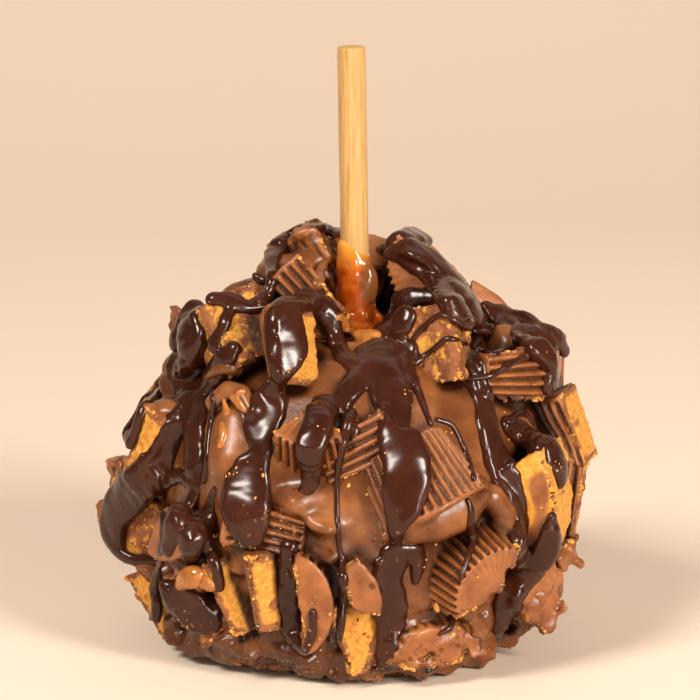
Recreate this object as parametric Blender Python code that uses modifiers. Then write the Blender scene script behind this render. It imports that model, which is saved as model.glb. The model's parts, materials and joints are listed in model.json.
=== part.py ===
"""Caramel apple on a wooden stick.

The dipped apple stands on its flat foot.  Caramel has run down the stick into the dimple, and pieces of
chocolate cups with a nut filling stick out all round the milk chocolate coat.  Dark chocolate was poured
over everything and set in strands.

Lengths are in millimetres, and MM turns them into metres.  The origin is the middle of the foot, +Z is up,
and the front of the apple looks along -Y.
"""

import math
from collections import namedtuple

import bmesh
import bpy
from mathutils import Matrix, Vector, noise
from mathutils.bvhtree import BVHTree

MM = 0.001
GAP = 0.3  # kept between pieces that touch

# Places on the apple are given as on a globe: longitude 0 is the front and grows to the right, latitude 90
# is straight up, and the distance is counted from the middle of the apple.
MIDDLE = Vector((0.0, 0.0, 38.0))

# The dipped apple, as a profile of radius and height from the dimple down to the foot.
COAT_PROFILE = [
    (0.0, 70.5), (7.0, 71.3), (13.0, 73.2), (20.0, 73.6), (28.0, 70.8), (36.0, 64.6), (42.5, 55.5),
    (46.0, 43.0), (46.2, 31.0), (44.6, 20.0), (41.4, 9.0), (38.0, 2.8), (33.0, 0.0), (0.0, 0.0),
]
COAT_TURNS = 30
COAT_WAVE = 1.1  # how far the coat swells and sinks
COAT_WAVE_LENGTH = 21.0
COAT_CALM = 5.0  # height above the foot at which the waves have their full size

STICK_RADIUS = 3.2
STICK_FOOT = Vector((1.6, 1.0, 30.0))
STICK_TIP = Vector((-0.2, -1.4, 138.0))
STICK_CHAMFER = 0.25

# A whole cup: the radius at its wide rim and at its base, its height, and how far apart its flutes are.
Cup = namedtuple("Cup", "rim base height pitch depth")
CUP = Cup(rim=14.0, base=11.5, height=17.5, pitch=2.2, depth=0.6)
SCRAP = Cup(rim=8.0, base=6.8, height=8.0, pitch=2.2, depth=0.6)  # a small broken off bit

# A piece of a cup is the sector that is left, in degrees each side of its middle, from its rim in to a cut
# at this distance from the cup's axis.  Its middle sits at a place on the globe, and one of its faces looks
# along another longitude and latitude: the fluted side, the core (the flat cut), a cheek (the radial cut),
# the wide rim or the base.  Spin turns the piece about that look, anticlockwise as seen from outside.
Piece = namedtuple("Piece", "name lon lat out cup sector inner face look_lon look_lat spin")
PIECES = [
    # front, from the top down
    Piece("crown_right", 104, 69, 47, CUP, 80, 0.5, "base", -22, 12, 135),
    Piece("crown_left", -34, 70, 48, CUP, 22, 5.0, "side", -20, 15, 47),
    Piece("crown_back_left", -128, 78, 50, CUP, 34, 3.0, "rim", -95, 62, 60),
    Piece("shoulder_left", -57, 49, 48, CUP, 48, 2.0, "core", -25, 20, 40),
    Piece("shoulder_front_left", -28, 49, 47, CUP, 38, 1.0, "cheek", 5, 25, 0),
    Piece("shoulder_front_right", 42, 50, 47, CUP, 37, 1.0, "core", 20, 18, 0),
    Piece("belt_front_right", 19, 13, 48, CUP, 84, 1.0, "side", 14, 24, 203),
    Piece("belt_front_left", -12, 20, 44, CUP, 46, 1.0, "base", -8, 46, 180),
    Piece("belt_front", 1, 21, 46, CUP, 25, 7.0, "side", 5, 15, -65),
    Piece("skirt_front_right", 31, -11, 47, CUP, 70, 1.0, "base", 31, -12, 45),
    Piece("shoulder_right", 64, 36, 48, CUP, 28, 3.0, "side", 45, 2, -95),
    Piece("shoulder_far_right", 91, 29, 51, CUP, 40, 4.0, "side", 70, 10, -15),
    Piece("belt_right", 59, 2, 48, CUP, 76, 1.0, "core", 74, 5, 97),
    Piece("belt_far_right_top", 84, 15, 50, CUP, 40, 2.0, "cheek", 25, 10, 15),
    Piece("belt_far_right_low", 80, -3, 49, CUP, 26, 6.0, "cheek", 60, 0, -20),
    Piece("belt_far_left", -71, 14, 49, CUP, 26, 7.0, "cheek", -62, 15, -27),
    Piece("skirt_far_left", -83, -8, 49, CUP, 56, 5.0, "core", -42, -5, -34),
    Piece("skirt_left", -50, -7, 45, CUP, 40, 2.0, "rim", -52, 5, 20),
    Piece("skirt_front_fluted", -24, -2, 46, CUP, 24, 6.0, "side", -20, 5, 80),
    Piece("foot_slab_front", -26, -18, 48, CUP, 26, 7.0, "cheek", -15, -5, 0),
    Piece("foot_slab_left", -37, -22, 48, CUP, 22, 8.0, "cheek", -35, -8, 15),
    Piece("foot_slab_brown", -9, -20, 45, CUP, 60, 6.0, "rim", -8, -5, 95),
    Piece("foot_oval", 3, -16, 44, CUP, 30, 7.0, "rim", 0, -5, 110),
    Piece("foot_nut_lump", 1, -32, 47, CUP, 30, 1.0, "cheek", 0, -10, 10),
    Piece("foot_right", 25, -35, 46, CUP, 72, 2.0, "base", 22, -5, 0),
    Piece("foot_far_right", 60, -25, 47, CUP, 44, 1.0, "rim", 36, -5, 90),
    Piece("foot_dipped", -50, -27, 48, CUP, 34, 3.0, "cheek", -42, -12, 30),
    Piece("foot_far_left", -75, -31, 50, CUP, 36, 3.0, "cheek", -57, -12, 27),
    # small bits at the sides
    Piece("crown_scrap_left", -77, 64, 48, SCRAP, 60, 1.0, "core", -40, 20, 30),
    Piece("shoulder_scrap_left", -88, 43, 52, SCRAP, 40, 2.0, "side", -60, 20, 30),
    Piece("belt_scrap_left", -86, 1, 52, SCRAP, 60, 1.0, "side", -60, 0, 10),
    Piece("skirt_scrap_right", 78, -18, 50, SCRAP, 60, 1.0, "rim", 60, 0, 0),
    Piece("foot_scrap_left", -49, -17, 49, SCRAP, 70, 0.5, "side", -45, 0, 80),
    # back, from the top down
    Piece("crown_back", 168, 68, 47, CUP, 60, 2.0, "core", 160, 25, 20),
    Piece("crown_back_right", 118, 46, 47, CUP, 36, 4.0, "side", 125, 30, 60),
    Piece("shoulder_back_left", -122, 42, 47, CUP, 60, 1.0, "side", -125, 35, 160),
    Piece("shoulder_back", 172, 34, 46, CUP, 50, 2.0, "rim", 175, 40, 30),
    Piece("belt_back_left", -112, 10, 47, CUP, 70, 1.0, "core", -110, 5, 70),
    Piece("belt_back_middle_left", -148, 14, 46, CUP, 60, 1.0, "side", -150, 15, 30),
    Piece("belt_back", 176, 4, 46, CUP, 40, 3.0, "cheek", 178, 0, 10),
    Piece("belt_back_middle_right", 146, 14, 46, CUP, 62, 1.0, "base", 145, 20, 120),
    Piece("belt_back_right", 114, 12, 47, CUP, 50, 2.0, "side", 115, 10, -20),
    Piece("foot_back_left", -108, -22, 48, CUP, 50, 2.0, "rim", -105, -5, 90),
    Piece("foot_back_middle_left", -138, -22, 47, CUP, 36, 3.0, "cheek", -138, -5, 0),
    Piece("foot_back", -168, -22, 47, CUP, 70, 1.0, "side", -170, -8, 100),
    Piece("foot_back_middle_right", 160, -22, 47, CUP, 46, 3.0, "core", 160, -5, 20),
    Piece("foot_back_right", 128, -20, 47, CUP, 60, 2.0, "base", 128, 0, 200),
]

# Caramel round the stick, as a profile of radius and height from its upper edge down to the pool.
CARAMEL_PROFILE = [
    (3.0, 94.2), (4.0, 93.4), (4.7, 89.0), (5.6, 82.5), (5.7, 78.0), (8.0, 75.0), (12.0, 74.0), (14.5, 73.2),
    (15.0, 69.0), (3.0, 69.0),
]
CARAMEL_TURNS = 16
CARAMEL_WAVE = 0.9

# A strand of dark chocolate runs over everything, from place to place on the globe, as (longitude,
# latitude, width).  It hangs straight across hollows.
STRAND_STEP = 2.0
STRAND_SINK = 0.2  # how far above what it lies on its middle runs, in radii
STRAND_GRAIN = 1.5  # size of the facets the flows of a strand are joined in
STRAND_KEEP = 0.06  # share of those facets that is kept
STRANDS = {
    "strand_left": [
        [(-60, 56, 6), (-62, 47, 9), (-56, 40, 9), (-50, 33, 8), (-50, 25, 6.5), (-49, 17, 6), (-48, 10, 5)],
        [(-57, 42, 6), (-60, 32, 6.5), (-62, 22, 6.5), (-66, 9, 8), (-77, -3, 8.5), (-87, -12, 8)],
    ],
    "strand_front_left": [
        [(-36, 62, 7), (-29, 57, 11), (-23, 48, 11.5), (-26, 38, 5), (-26, 33, 5), (-25, 27, 8.5),
         (-24, 20, 8), (-27, 16, 4.5), (-31, 9, 9.5), (-30, 1, 11), (-28, -6, 6)],
    ],
    "strand_front": [
        [(-17, 56, 4), (-10, 51, 4.5), (2, 46, 5), (13, 44, 8.5), (23, 52, 8.5), (34, 60, 7)],
        [(10, 45, 6), (1, 38, 6), (-4, 33, 4)],
        [(13, 44, 8.5), (13, 34, 8), (12, 25, 7), (12, 19, 7), (13, 12, 9), (13, 5, 8.5), (12, 0, 6)],
    ],
    "strand_right": [
        [(92, 73, 8), (74, 70, 9), (70, 60, 10), (57, 51, 8), (50, 44, 6), (46, 36, 5), (45, 29, 6),
         (43, 16, 6), (45, 3, 6.5), (46, -6, 6.5), (45, -14, 5), (43, -21, 5.5), (42, -28, 5), (42, -33, 4)],
        [(67, -4, 4), (67, -9, 6.5), (61, -16, 6), (52, -21, 5), (44, -24, 4.5)],
    ],
    "strand_shoulder_right": [
        [(84, 57, 7), (78, 49, 9), (80, 40, 9.5), (77, 33, 8), (72, 28, 4)],
    ],
    "strand_belt_right": [
        [(49, 21, 5), (57, 16, 6.5), (66, 9, 9), (67, 3, 5)],
    ],
    "strand_low_left": [
        [(-17, -8, 4.5), (-17, -16, 5), (-16, -25, 5), (-16, -35, 5)],
    ],
    "strand_low_front": [
        [(12, -6, 5), (14, -10, 8.5), (12, -17, 8.5), (11, -26, 7), (11, -34, 5.5), (11, -39, 4)],
    ],
    "strand_back_left": [
        [(-118, 66, 6), (-124, 50, 7), (-130, 32, 6.5), (-128, 14, 6), (-124, -4, 6.5), (-122, -16, 4)],
        [(-126, 42, 5), (-150, 28, 5.5), (-162, 12, 6), (-160, -8, 5)],
    ],
    "strand_back_right": [
        [(-176, 62, 6), (178, 46, 6.5), (165, 30, 6.5), (152, 16, 6), (148, -2, 6.5), (146, -18, 4)],
        [(168, 34, 5), (140, 38, 6), (124, 26, 6), (110, 6, 6), (106, -14, 5)],
    ],
}

# which way a piece's own axes point for each face, as (right, up, out)
FACINGS = {
    "side": ((0, 1, 0), (0, 0, 1), (1, 0, 0)),
    "core": ((0, -1, 0), (0, 0, 1), (-1, 0, 0)),
    "cheek": ((-1, 0, 0), (0, 0, 1), (0, 1, 0)),
    "rim": ((0, 1, 0), (-1, 0, 0), (0, 0, 1)),
    "base": ((0, 1, 0), (1, 0, 0), (0, 0, -1)),
}


def clear_scene():
    for old in list(bpy.data.objects):
        bpy.data.objects.remove(old)


def collection(name):
    made = bpy.data.collections.new(name)
    bpy.context.scene.collection.children.link(made)
    return made


def material(name, colour, roughness, metallic=0.0):
    made = bpy.data.materials.new(name)
    made.use_nodes = True
    shader = made.node_tree.nodes["Principled BSDF"]
    shader.inputs["Base Color"].default_value = (*colour, 1.0)
    shader.inputs["Roughness"].default_value = roughness
    shader.inputs["Metallic"].default_value = metallic
    return made


def add_object(name, mesh, holder, finish=None):
    made = bpy.data.objects.new(name, mesh)
    holder.objects.link(made)
    if finish:
        mesh.materials.append(finish)
    return made


def as_cutter(cutter):
    cutter.hide_render = True
    cutter.display_type = "WIRE"


def is_closed(mesh):
    """Whether a mesh is a closed body with its faces outwards."""
    bm = bmesh.new()
    bm.from_mesh(mesh)
    closed = len(bm.faces) > 3 and all(edge.is_manifold for edge in bm.edges)
    closed = closed and bm.calc_volume(signed=True) > (MM ** 3)
    bm.free()
    return closed


def carve(solid, cutter):
    """Takes the cutter away from the solid, and shifts it by a hair if their faces happen to coincide."""
    shape = solid.data
    for attempt in range(12):
        cutter.location = Vector((0.011, -0.007, 0.009)) * (attempt * MM)
        cut = solid.modifiers.new("Carve " + cutter.name, "BOOLEAN")
        cut.operation = "DIFFERENCE"
        cut.solver = "EXACT"
        cut.object = cutter
        bpy.context.view_layer.update()
        carved = largest_body(evaluated_mesh(solid), 0.02 if attempt % 2 == 0 else 0.002)
        solid.modifiers.clear()
        if is_closed(carved):
            shape = carved
            break
    cutter.location = (0.0, 0.0, 0.0)
    solid.data = shape


def evaluated_mesh(source):
    graph = bpy.context.evaluated_depsgraph_get()
    return bpy.data.meshes.new_from_object(source.evaluated_get(graph))


def globe(lon, lat, out):
    """The point at this longitude, latitude and distance from the middle of the apple."""
    east, north = math.radians(lon), math.radians(lat)
    way = Vector((math.cos(north) * math.sin(east), -math.cos(north) * math.cos(east), math.sin(north)))
    return MIDDLE + out * way


def globe_axes(lon, lat):
    """Right, up and outwards at this place, as the columns of a matrix."""
    out = (globe(lon, lat, 1.0) - MIDDLE).normalized()
    east = math.radians(lon)
    right = Vector((math.cos(east), math.sin(east), 0.0))
    return Matrix((right, out.cross(right), out)).transposed()


# ---------------------------------------------------------------------------------------------- the apple

def coat_wave(point):
    """How far the coat stands out or sinks at a point."""
    calm = min(1.0, max(0.0, point.z / COAT_CALM))
    return COAT_WAVE * calm * noise.noise(point / COAT_WAVE_LENGTH)


def turned_mesh(name, outline, turns):
    """The solid turned from a profile of (radius, height) about the upright axis."""
    profile = bpy.data.meshes.new(name)
    links = [(i, i + 1) for i in range(len(outline) - 1)]
    if outline[0][0] > 0.0:
        links.append((len(outline) - 1, 0))
    profile.from_pydata([(r, 0.0, z) for r, z in outline], links, [])
    turned = bpy.data.objects.new(name, profile)
    bpy.context.scene.collection.objects.link(turned)
    screw = turned.modifiers.new("Turn", "SCREW")
    screw.steps = screw.render_steps = turns
    screw.use_merge_vertices = True
    screw.merge_threshold = 0.0001
    mesh = evaluated_mesh(turned)
    bpy.data.objects.remove(turned)
    bm = bmesh.new()
    bm.from_mesh(mesh)
    bmesh.ops.recalc_face_normals(bm, faces=bm.faces)
    bm.to_mesh(mesh)
    bm.free()
    return mesh


def coat_mesh(name, grow=0.0):
    """The turned coat with its waves, and grown all round for a cutter."""
    mesh = turned_mesh(name, COAT_PROFILE, COAT_TURNS)
    for vertex in mesh.vertices:
        out = vertex.normal * (coat_wave(vertex.co) + grow)
        vertex.co = (vertex.co + out) * MM
    return mesh


def make_apple(parts, cutters, coat):
    apple = add_object("apple", coat_mesh("apple"), parts, coat)
    envelope = add_object("apple_envelope", coat_mesh("apple_envelope", GAP), cutters)
    as_cutter(envelope)
    apple.data.shade_smooth()
    return apple, envelope


# ---------------------------------------------------------------------------------------------- the stick

def stick_mesh(name, radius, chamfer):
    """A dowel from STICK_FOOT to STICK_TIP."""
    run = STICK_TIP - STICK_FOOT
    bm = bmesh.new()
    turn = run.to_track_quat("Z", "Y").to_matrix().to_4x4()
    place = Matrix.Translation((STICK_FOOT + STICK_TIP) / 2 * MM) @ turn
    bmesh.ops.create_cone(
        bm, cap_ends=True, segments=24, radius1=radius * MM, radius2=radius * MM, depth=run.length * MM,
        matrix=place,
    )
    if chamfer:
        ends = [edge for edge in bm.edges if any(len(face.verts) > 4 for face in edge.link_faces)]
        bmesh.ops.bevel(bm, geom=ends, offset=chamfer * MM, segments=1, affect="EDGES")
    mesh = bpy.data.meshes.new(name)
    bm.to_mesh(mesh)
    bm.free()
    return mesh


# -------------------------------------------------------------------------------------------- cup pieces

def plain_arc(radius, sector):
    """Points of a smooth side that stands outside every ridge."""
    steps = max(2, math.ceil(sector / 11))
    slack = math.cos(math.radians(sector) / steps)
    turns = [math.radians(sector) * (2 * i / steps - 1) for i in range(steps + 1)]
    return [(radius / slack * math.cos(turn), radius / slack * math.sin(turn)) for turn in turns]


def fluted_arc(cup, radius, sector):
    """Points along the fluted side from one cut to the other: out on a ridge, in at a groove."""
    flutes = max(2, round(2 * math.radians(sector) * cup.rim / cup.pitch))
    steps = 2 * flutes
    points = []
    for i in range(steps + 1):
        angle = math.radians(sector) * (2 * i / steps - 1)
        ripple = radius - (cup.depth if i % 2 else 0.0)
        points.append((ripple * math.cos(angle), ripple * math.sin(angle)))
    return points


def piece_mesh(piece, grow=0.0):
    """The sector of the cup, cut off flat at its inner side, in its own axes about its own middle."""
    cup = piece.cup
    reach = math.tan(math.radians(piece.sector))
    rings = []
    for radius, height in ((cup.base, 0.0), (cup.rim, cup.height)):
        inner = piece.inner * radius / cup.rim
        width = max(1.0, inner * reach)
        side = plain_arc(radius, piece.sector) if grow else fluted_arc(cup, radius, piece.sector)
        ring = side + [(inner, width), (inner, -width)]
        rings.append([Vector((x, y, height)) for x, y in ring])
    middle = Vector(((piece.inner + cup.rim) / 2, 0.0, cup.height / 2))
    bm = bmesh.new()
    low, high = ([bm.verts.new(point - middle) for point in ring] for ring in rings)
    bm.faces.new(low)
    bm.faces.new(high)
    for i in range(len(low)):
        j = (i + 1) % len(low)
        bm.faces.new((low[i], low[j], high[j], high[i]))
    bmesh.ops.recalc_face_normals(bm, faces=bm.faces)
    if grow:
        for vertex, way in [(vertex, swelling(vertex)) for vertex in bm.verts]:
            vertex.co += grow * way
    mesh = bpy.data.meshes.new(piece.name)
    bm.to_mesh(mesh)
    bm.free()
    return mesh


def swelling(vertex):
    """The way a corner moves when each of its faces moves out by one."""
    normals = []
    for face in vertex.link_faces:
        if all(face.normal.dot(known) < 0.9 for known in normals):
            normals.append(face.normal.copy())
    way = sum(normals, Vector()).normalized()
    return way / max(0.45, min(way.dot(normal) for normal in normals))


def piece_place(piece):
    """Where a piece's own axes go."""
    right, up, out = (Vector(axis) for axis in FACINGS[piece.face])
    own = Matrix((right, up, out))
    axes = globe_axes(piece.look_lon, piece.look_lat) @ Matrix.Rotation(math.radians(piece.spin), 3, "Z") @ own
    return Matrix.Translation(globe(piece.lon, piece.lat, piece.out) * MM) @ axes.to_4x4() @ Matrix.Scale(MM, 4)


def largest_body(mesh, sliver):
    """The mesh with only its largest body left, and without slivers of this size."""
    bm = bmesh.new()
    bm.from_mesh(mesh)
    bmesh.ops.remove_doubles(bm, verts=bm.verts, dist=sliver * MM)
    bmesh.ops.dissolve_degenerate(bm, edges=bm.edges, dist=sliver * MM)
    bodies = []
    waiting = set(bm.faces)
    while waiting:
        body, edge = set(), [waiting.pop()]
        while edge:
            face = edge.pop()
            body.add(face)
            for beside in (other for e in face.edges for other in e.link_faces):
                if beside in waiting:
                    waiting.discard(beside)
                    edge.append(beside)
        bodies.append(body)
    bodies.sort(key=lambda body: sum(face.calc_area() for face in body))
    crumbs = [face for body in bodies[:-1] for face in body]
    bmesh.ops.delete(bm, geom=crumbs, context="FACES")
    bm.to_mesh(mesh)
    bm.free()
    return mesh


def make_pieces(parts, cutters, finish, cuts):
    """Each piece is cut by the apple and the stick, and where an earlier piece already is."""
    made = []
    for piece in PIECES:
        mesh, wide = piece_mesh(piece), piece_mesh(piece, GAP)
        for shape in (mesh, wide):
            shape.transform(piece_place(piece))
        solid = add_object(piece.name, mesh, parts, finish)
        envelope = add_object(piece.name + "_envelope", wide, cutters)
        as_cutter(envelope)
        for cutter in cuts + made:
            if near(solid, cutter):
                carve(solid, cutter)
        made.append(envelope)
    return made


# ------------------------------------------------------------------------------------ caramel and strands

def caramel_mesh(name, grow=0.0):
    """The sleeve and pool, leaning with the stick and thicker on one side than on the other."""
    mesh = turned_mesh(name, CARAMEL_PROFILE, CARAMEL_TURNS)
    run = STICK_TIP - STICK_FOOT
    for vertex in mesh.vertices:
        lean = STICK_FOOT + run * ((vertex.co.z - STICK_FOOT.z) / run.z)
        lean.z = 0.0
        wave = CARAMEL_WAVE * noise.noise(vertex.co / 7.0)
        vertex.co = (vertex.co + lean + vertex.normal * (wave + grow)) * MM
    return mesh


class Ground:
    """What the strands lie on: the outermost surface over every place on the globe."""

    def __init__(self, solids):
        points, faces = [], []
        for solid in solids:
            first = len(points)
            points += [vertex.co / MM for vertex in solid.data.vertices]
            faces += [[first + i for i in polygon.vertices] for polygon in solid.data.polygons]
        self.tree = BVHTree.FromPolygons(points, faces)

    def height(self, lon, lat):
        start = globe(lon, lat, 90.0)
        hit = self.tree.ray_cast(start, MIDDLE - start)[0]
        return (hit - MIDDLE).length if hit else 40.0


def strand_path(route, ground):
    """Points and radii along a route, lying on the ground and straight across its hollows."""
    places = []
    for (lon_a, lat_a, width_a), (lon_b, lat_b, width_b) in zip(route, route[1:]):
        if lon_b - lon_a > 180:
            lon_b -= 360
        elif lon_a - lon_b > 180:
            lon_b += 360
        steps = max(1, round((globe(lon_b, lat_b, 52.0) - globe(lon_a, lat_a, 52.0)).length / STRAND_STEP))
        for i in range(steps):
            t = i / steps
            places.append([a + t * (b - a) for a, b in ((lon_a, lon_b), (lat_a, lat_b), (width_a, width_b))])
    places.append(list(route[-1]))
    heights = [ground.height(lon, lat) for lon, lat, _ in places]
    for _ in range(6):
        taut = [(heights[i - 1] + heights[i + 1]) / 2 for i in range(1, len(heights) - 1)]
        heights[1:-1] = [max(h, t) for h, t in zip(heights[1:-1], taut)]
    path = []
    for (lon, lat, width), height in zip(places, heights):
        path.append((globe(lon, lat, height + STRAND_SINK * width / 2), width / 2))
    return path


def flow_mesh(name, path, grow):
    """A round tube through the points, with round ends."""
    curve = bpy.data.curves.new(name, "CURVE")
    curve.dimensions = "3D"
    curve.bevel_depth = MM
    curve.bevel_resolution = 2
    curve.use_fill_caps = True
    spline = curve.splines.new("POLY")
    (first, radius), (last, last_radius) = path[0], path[-1]
    back = (first - path[1][0]).normalized()
    onward = (last - path[-2][0]).normalized()
    head = (first + 0.7 * radius * back, 0.5 * radius)
    tail = (last + 0.7 * last_radius * onward, 0.5 * last_radius)
    points = [head] + path + [tail]
    spline.points.add(len(points) - 1)
    for knot, (point, radius) in zip(spline.points, points):
        knot.co = (*(point * MM), 1.0)
        knot.radius = radius + grow
    tube = bpy.data.objects.new(name, curve)
    bpy.context.scene.collection.objects.link(tube)
    mesh = evaluated_mesh(tube)
    bpy.data.objects.remove(tube)
    return mesh


def strand_mesh(name, paths, grow=0.0):
    """All flows of a strand joined in one smooth skin."""
    bm = bmesh.new()
    for path in paths:
        bm.from_mesh(flow_mesh(name, path, grow))
    joined = bpy.data.meshes.new(name)
    bm.to_mesh(joined)
    bm.free()
    solid = bpy.data.objects.new(name, joined)
    bpy.context.scene.collection.objects.link(solid)
    skin = solid.modifiers.new("Join", "REMESH")
    skin.mode = "VOXEL"
    skin.voxel_size = STRAND_GRAIN * MM
    skin.adaptivity = 0.0
    fewer = solid.modifiers.new("Fewer facets", "DECIMATE")
    fewer.ratio = STRAND_KEEP
    mesh = evaluated_mesh(solid)
    bpy.data.objects.remove(solid)
    return mesh


def make_strands(parts, cutters, finish, cuts, ground):
    """Each strand is cut by everything it lies on and by the strands laid before it."""
    laid = []
    for name, routes in STRANDS.items():
        paths = [strand_path(route, ground) for route in routes]
        solid = add_object(name, strand_mesh(name, paths), parts, finish)
        envelope = add_object(name + "_envelope", strand_mesh(name + "_envelope", paths, 2.2 * GAP), cutters)
        as_cutter(envelope)
        for cutter in cuts + laid:
            if near(solid, cutter):
                carve(solid, cutter)
        solid.data.shade_smooth()
        laid.append(envelope)


def near(a, b):
    """Whether the boxes round two meshes meet."""
    low_a, high_a = box(a)
    low_b, high_b = box(b)
    return all(low_a[i] < high_b[i] and low_b[i] < high_a[i] for i in range(3))


def box(obj):
    points = [vertex.co for vertex in obj.data.vertices]
    low = [min(p[i] for p in points) for i in range(3)]
    high = [max(p[i] for p in points) for i in range(3)]
    return low, high


def table_top(cutters):
    """Keeps the pieces clear of what the apple stands on."""
    mesh = bpy.data.meshes.new("table_top")
    bm = bmesh.new()
    bmesh.ops.create_cube(bm, size=200 * MM, matrix=Matrix.Translation((0.0, 0.0, (2 * GAP - 100) * MM)))
    bm.to_mesh(mesh)
    bm.free()
    table = add_object("table_top", mesh, cutters)
    as_cutter(table)
    return table


def main():
    clear_scene()
    parts = collection("caramel_apple")
    cutters = collection("cutters")
    milk = material("milk_chocolate", (0.30, 0.12, 0.045), 0.35)
    broken = material("cup_pieces", (0.36, 0.16, 0.05), 0.5)
    wood = material("wood", (0.62, 0.38, 0.16), 0.6)
    amber = material("caramel", (0.42, 0.09, 0.01), 0.15)
    dark = material("dark_chocolate", (0.045, 0.014, 0.008), 0.2)
    apple, apple_envelope = make_apple(parts, cutters, milk)
    stick = add_object("stick", stick_mesh("stick", STICK_RADIUS, STICK_CHAMFER), parts, wood)
    stick_bore = add_object("stick_bore", stick_mesh("stick_bore", STICK_RADIUS + GAP, 0.0), cutters)
    as_cutter(stick_bore)
    carve(apple, stick_bore)
    cuts = [table_top(cutters), apple_envelope, stick_bore]
    cuts += make_pieces(parts, cutters, broken, cuts)
    caramel = add_object("caramel", caramel_mesh("caramel"), parts, amber)
    caramel_envelope = add_object("caramel_envelope", caramel_mesh("caramel_envelope", GAP), cutters)
    as_cutter(caramel_envelope)
    for cutter in cuts:
        if near(caramel, cutter):
            carve(caramel, cutter)
    ground = Ground([solid for solid in parts.objects if solid != stick])
    make_strands(parts, cutters, dark, cuts + [caramel_envelope], ground)


main()
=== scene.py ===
"""Caramel apple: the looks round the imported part.

The coat, the dark chocolate, the caramel and every piece of a cup are fields of distances on a grid, made
into meshes.  Lengths are in millimetres, and MM turns them into metres.
"""

import json
import math
from collections import namedtuple

import bmesh
import bpy
import numpy as np
import openvdb as vdb
from mathutils import Matrix, Vector, noise
from mathutils.bvhtree import BVHTree

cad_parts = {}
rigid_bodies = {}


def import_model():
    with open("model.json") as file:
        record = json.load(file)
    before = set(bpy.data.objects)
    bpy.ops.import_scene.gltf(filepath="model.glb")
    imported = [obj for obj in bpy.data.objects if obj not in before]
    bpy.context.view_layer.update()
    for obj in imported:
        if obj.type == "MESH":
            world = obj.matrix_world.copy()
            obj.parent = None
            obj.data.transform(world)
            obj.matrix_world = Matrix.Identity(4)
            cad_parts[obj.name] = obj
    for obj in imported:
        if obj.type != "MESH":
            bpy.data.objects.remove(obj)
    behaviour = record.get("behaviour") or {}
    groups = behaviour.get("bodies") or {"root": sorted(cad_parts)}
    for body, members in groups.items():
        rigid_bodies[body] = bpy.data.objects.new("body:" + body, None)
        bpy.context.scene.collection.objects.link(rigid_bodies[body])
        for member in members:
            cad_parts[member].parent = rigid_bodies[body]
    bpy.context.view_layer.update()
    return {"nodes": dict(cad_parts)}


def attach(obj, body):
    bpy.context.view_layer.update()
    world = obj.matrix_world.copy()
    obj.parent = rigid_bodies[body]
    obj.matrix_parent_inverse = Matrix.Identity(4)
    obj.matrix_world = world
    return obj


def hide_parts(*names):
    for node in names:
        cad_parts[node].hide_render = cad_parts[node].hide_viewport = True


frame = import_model()

MM = 0.001
COARSE = 0.5  # grid step of the coat and the dark chocolate
FINE = 0.36  # grid step of the cup pieces in front
BACK = 0.5  # and of those behind

# Places are given as on a globe: longitude 0 is the front and grows to the right, latitude 90 is up, and the
# distance is counted from the middle of the apple.
MIDDLE = Vector((0.0, 0.0, 38.0))
AIM = Vector((-0.5, 0.0, 68.0))  # what the front is looked at round, and from where
RISE = math.radians(11.5)
EYE = AIM + 750.0 * Vector((0.0, -math.cos(RISE), math.sin(RISE)))
STICK_RADIUS = 3.2
STICK_FOOT = Vector((1.6, 1.0, 30.0))
STICK_TIP = Vector((-0.2, -1.4, 138.0))

COAT_PROFILE = [
    (0.0, 70.5), (7.0, 71.3), (13.0, 73.2), (20.0, 73.6), (28.0, 70.8), (36.0, 64.6), (42.5, 55.5),
    (46.0, 43.0), (46.2, 31.0), (44.6, 20.0), (41.4, 9.0), (38.0, 2.8), (33.0, 0.0), (0.0, 0.0),
]
COAT_WAVE = 1.1
COAT_WAVE_LENGTH = 21.0
COAT_CALM = 5.0

CARAMEL_PROFILE = [
    (0.0, 94.6), (3.0, 94.5), (4.0, 93.4), (4.7, 89.0), (5.6, 82.5), (5.7, 78.0), (8.0, 75.0), (12.0, 74.0),
    (14.5, 73.2), (15.0, 69.0), (0.0, 69.0),
]

# A whole cup: the radius at its wide rim and at its base, and its height.
Cup = namedtuple("Cup", "rim base height")
CUP = Cup(rim=14.0, base=11.5, height=17.5)
SCRAP = Cup(rim=8.0, base=6.8, height=8.0)
FLUTE_PITCH = 2.4
FLUTE_DEPTH = 1.3
SHELL = 1.35  # thickness of a cup's chocolate

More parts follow.
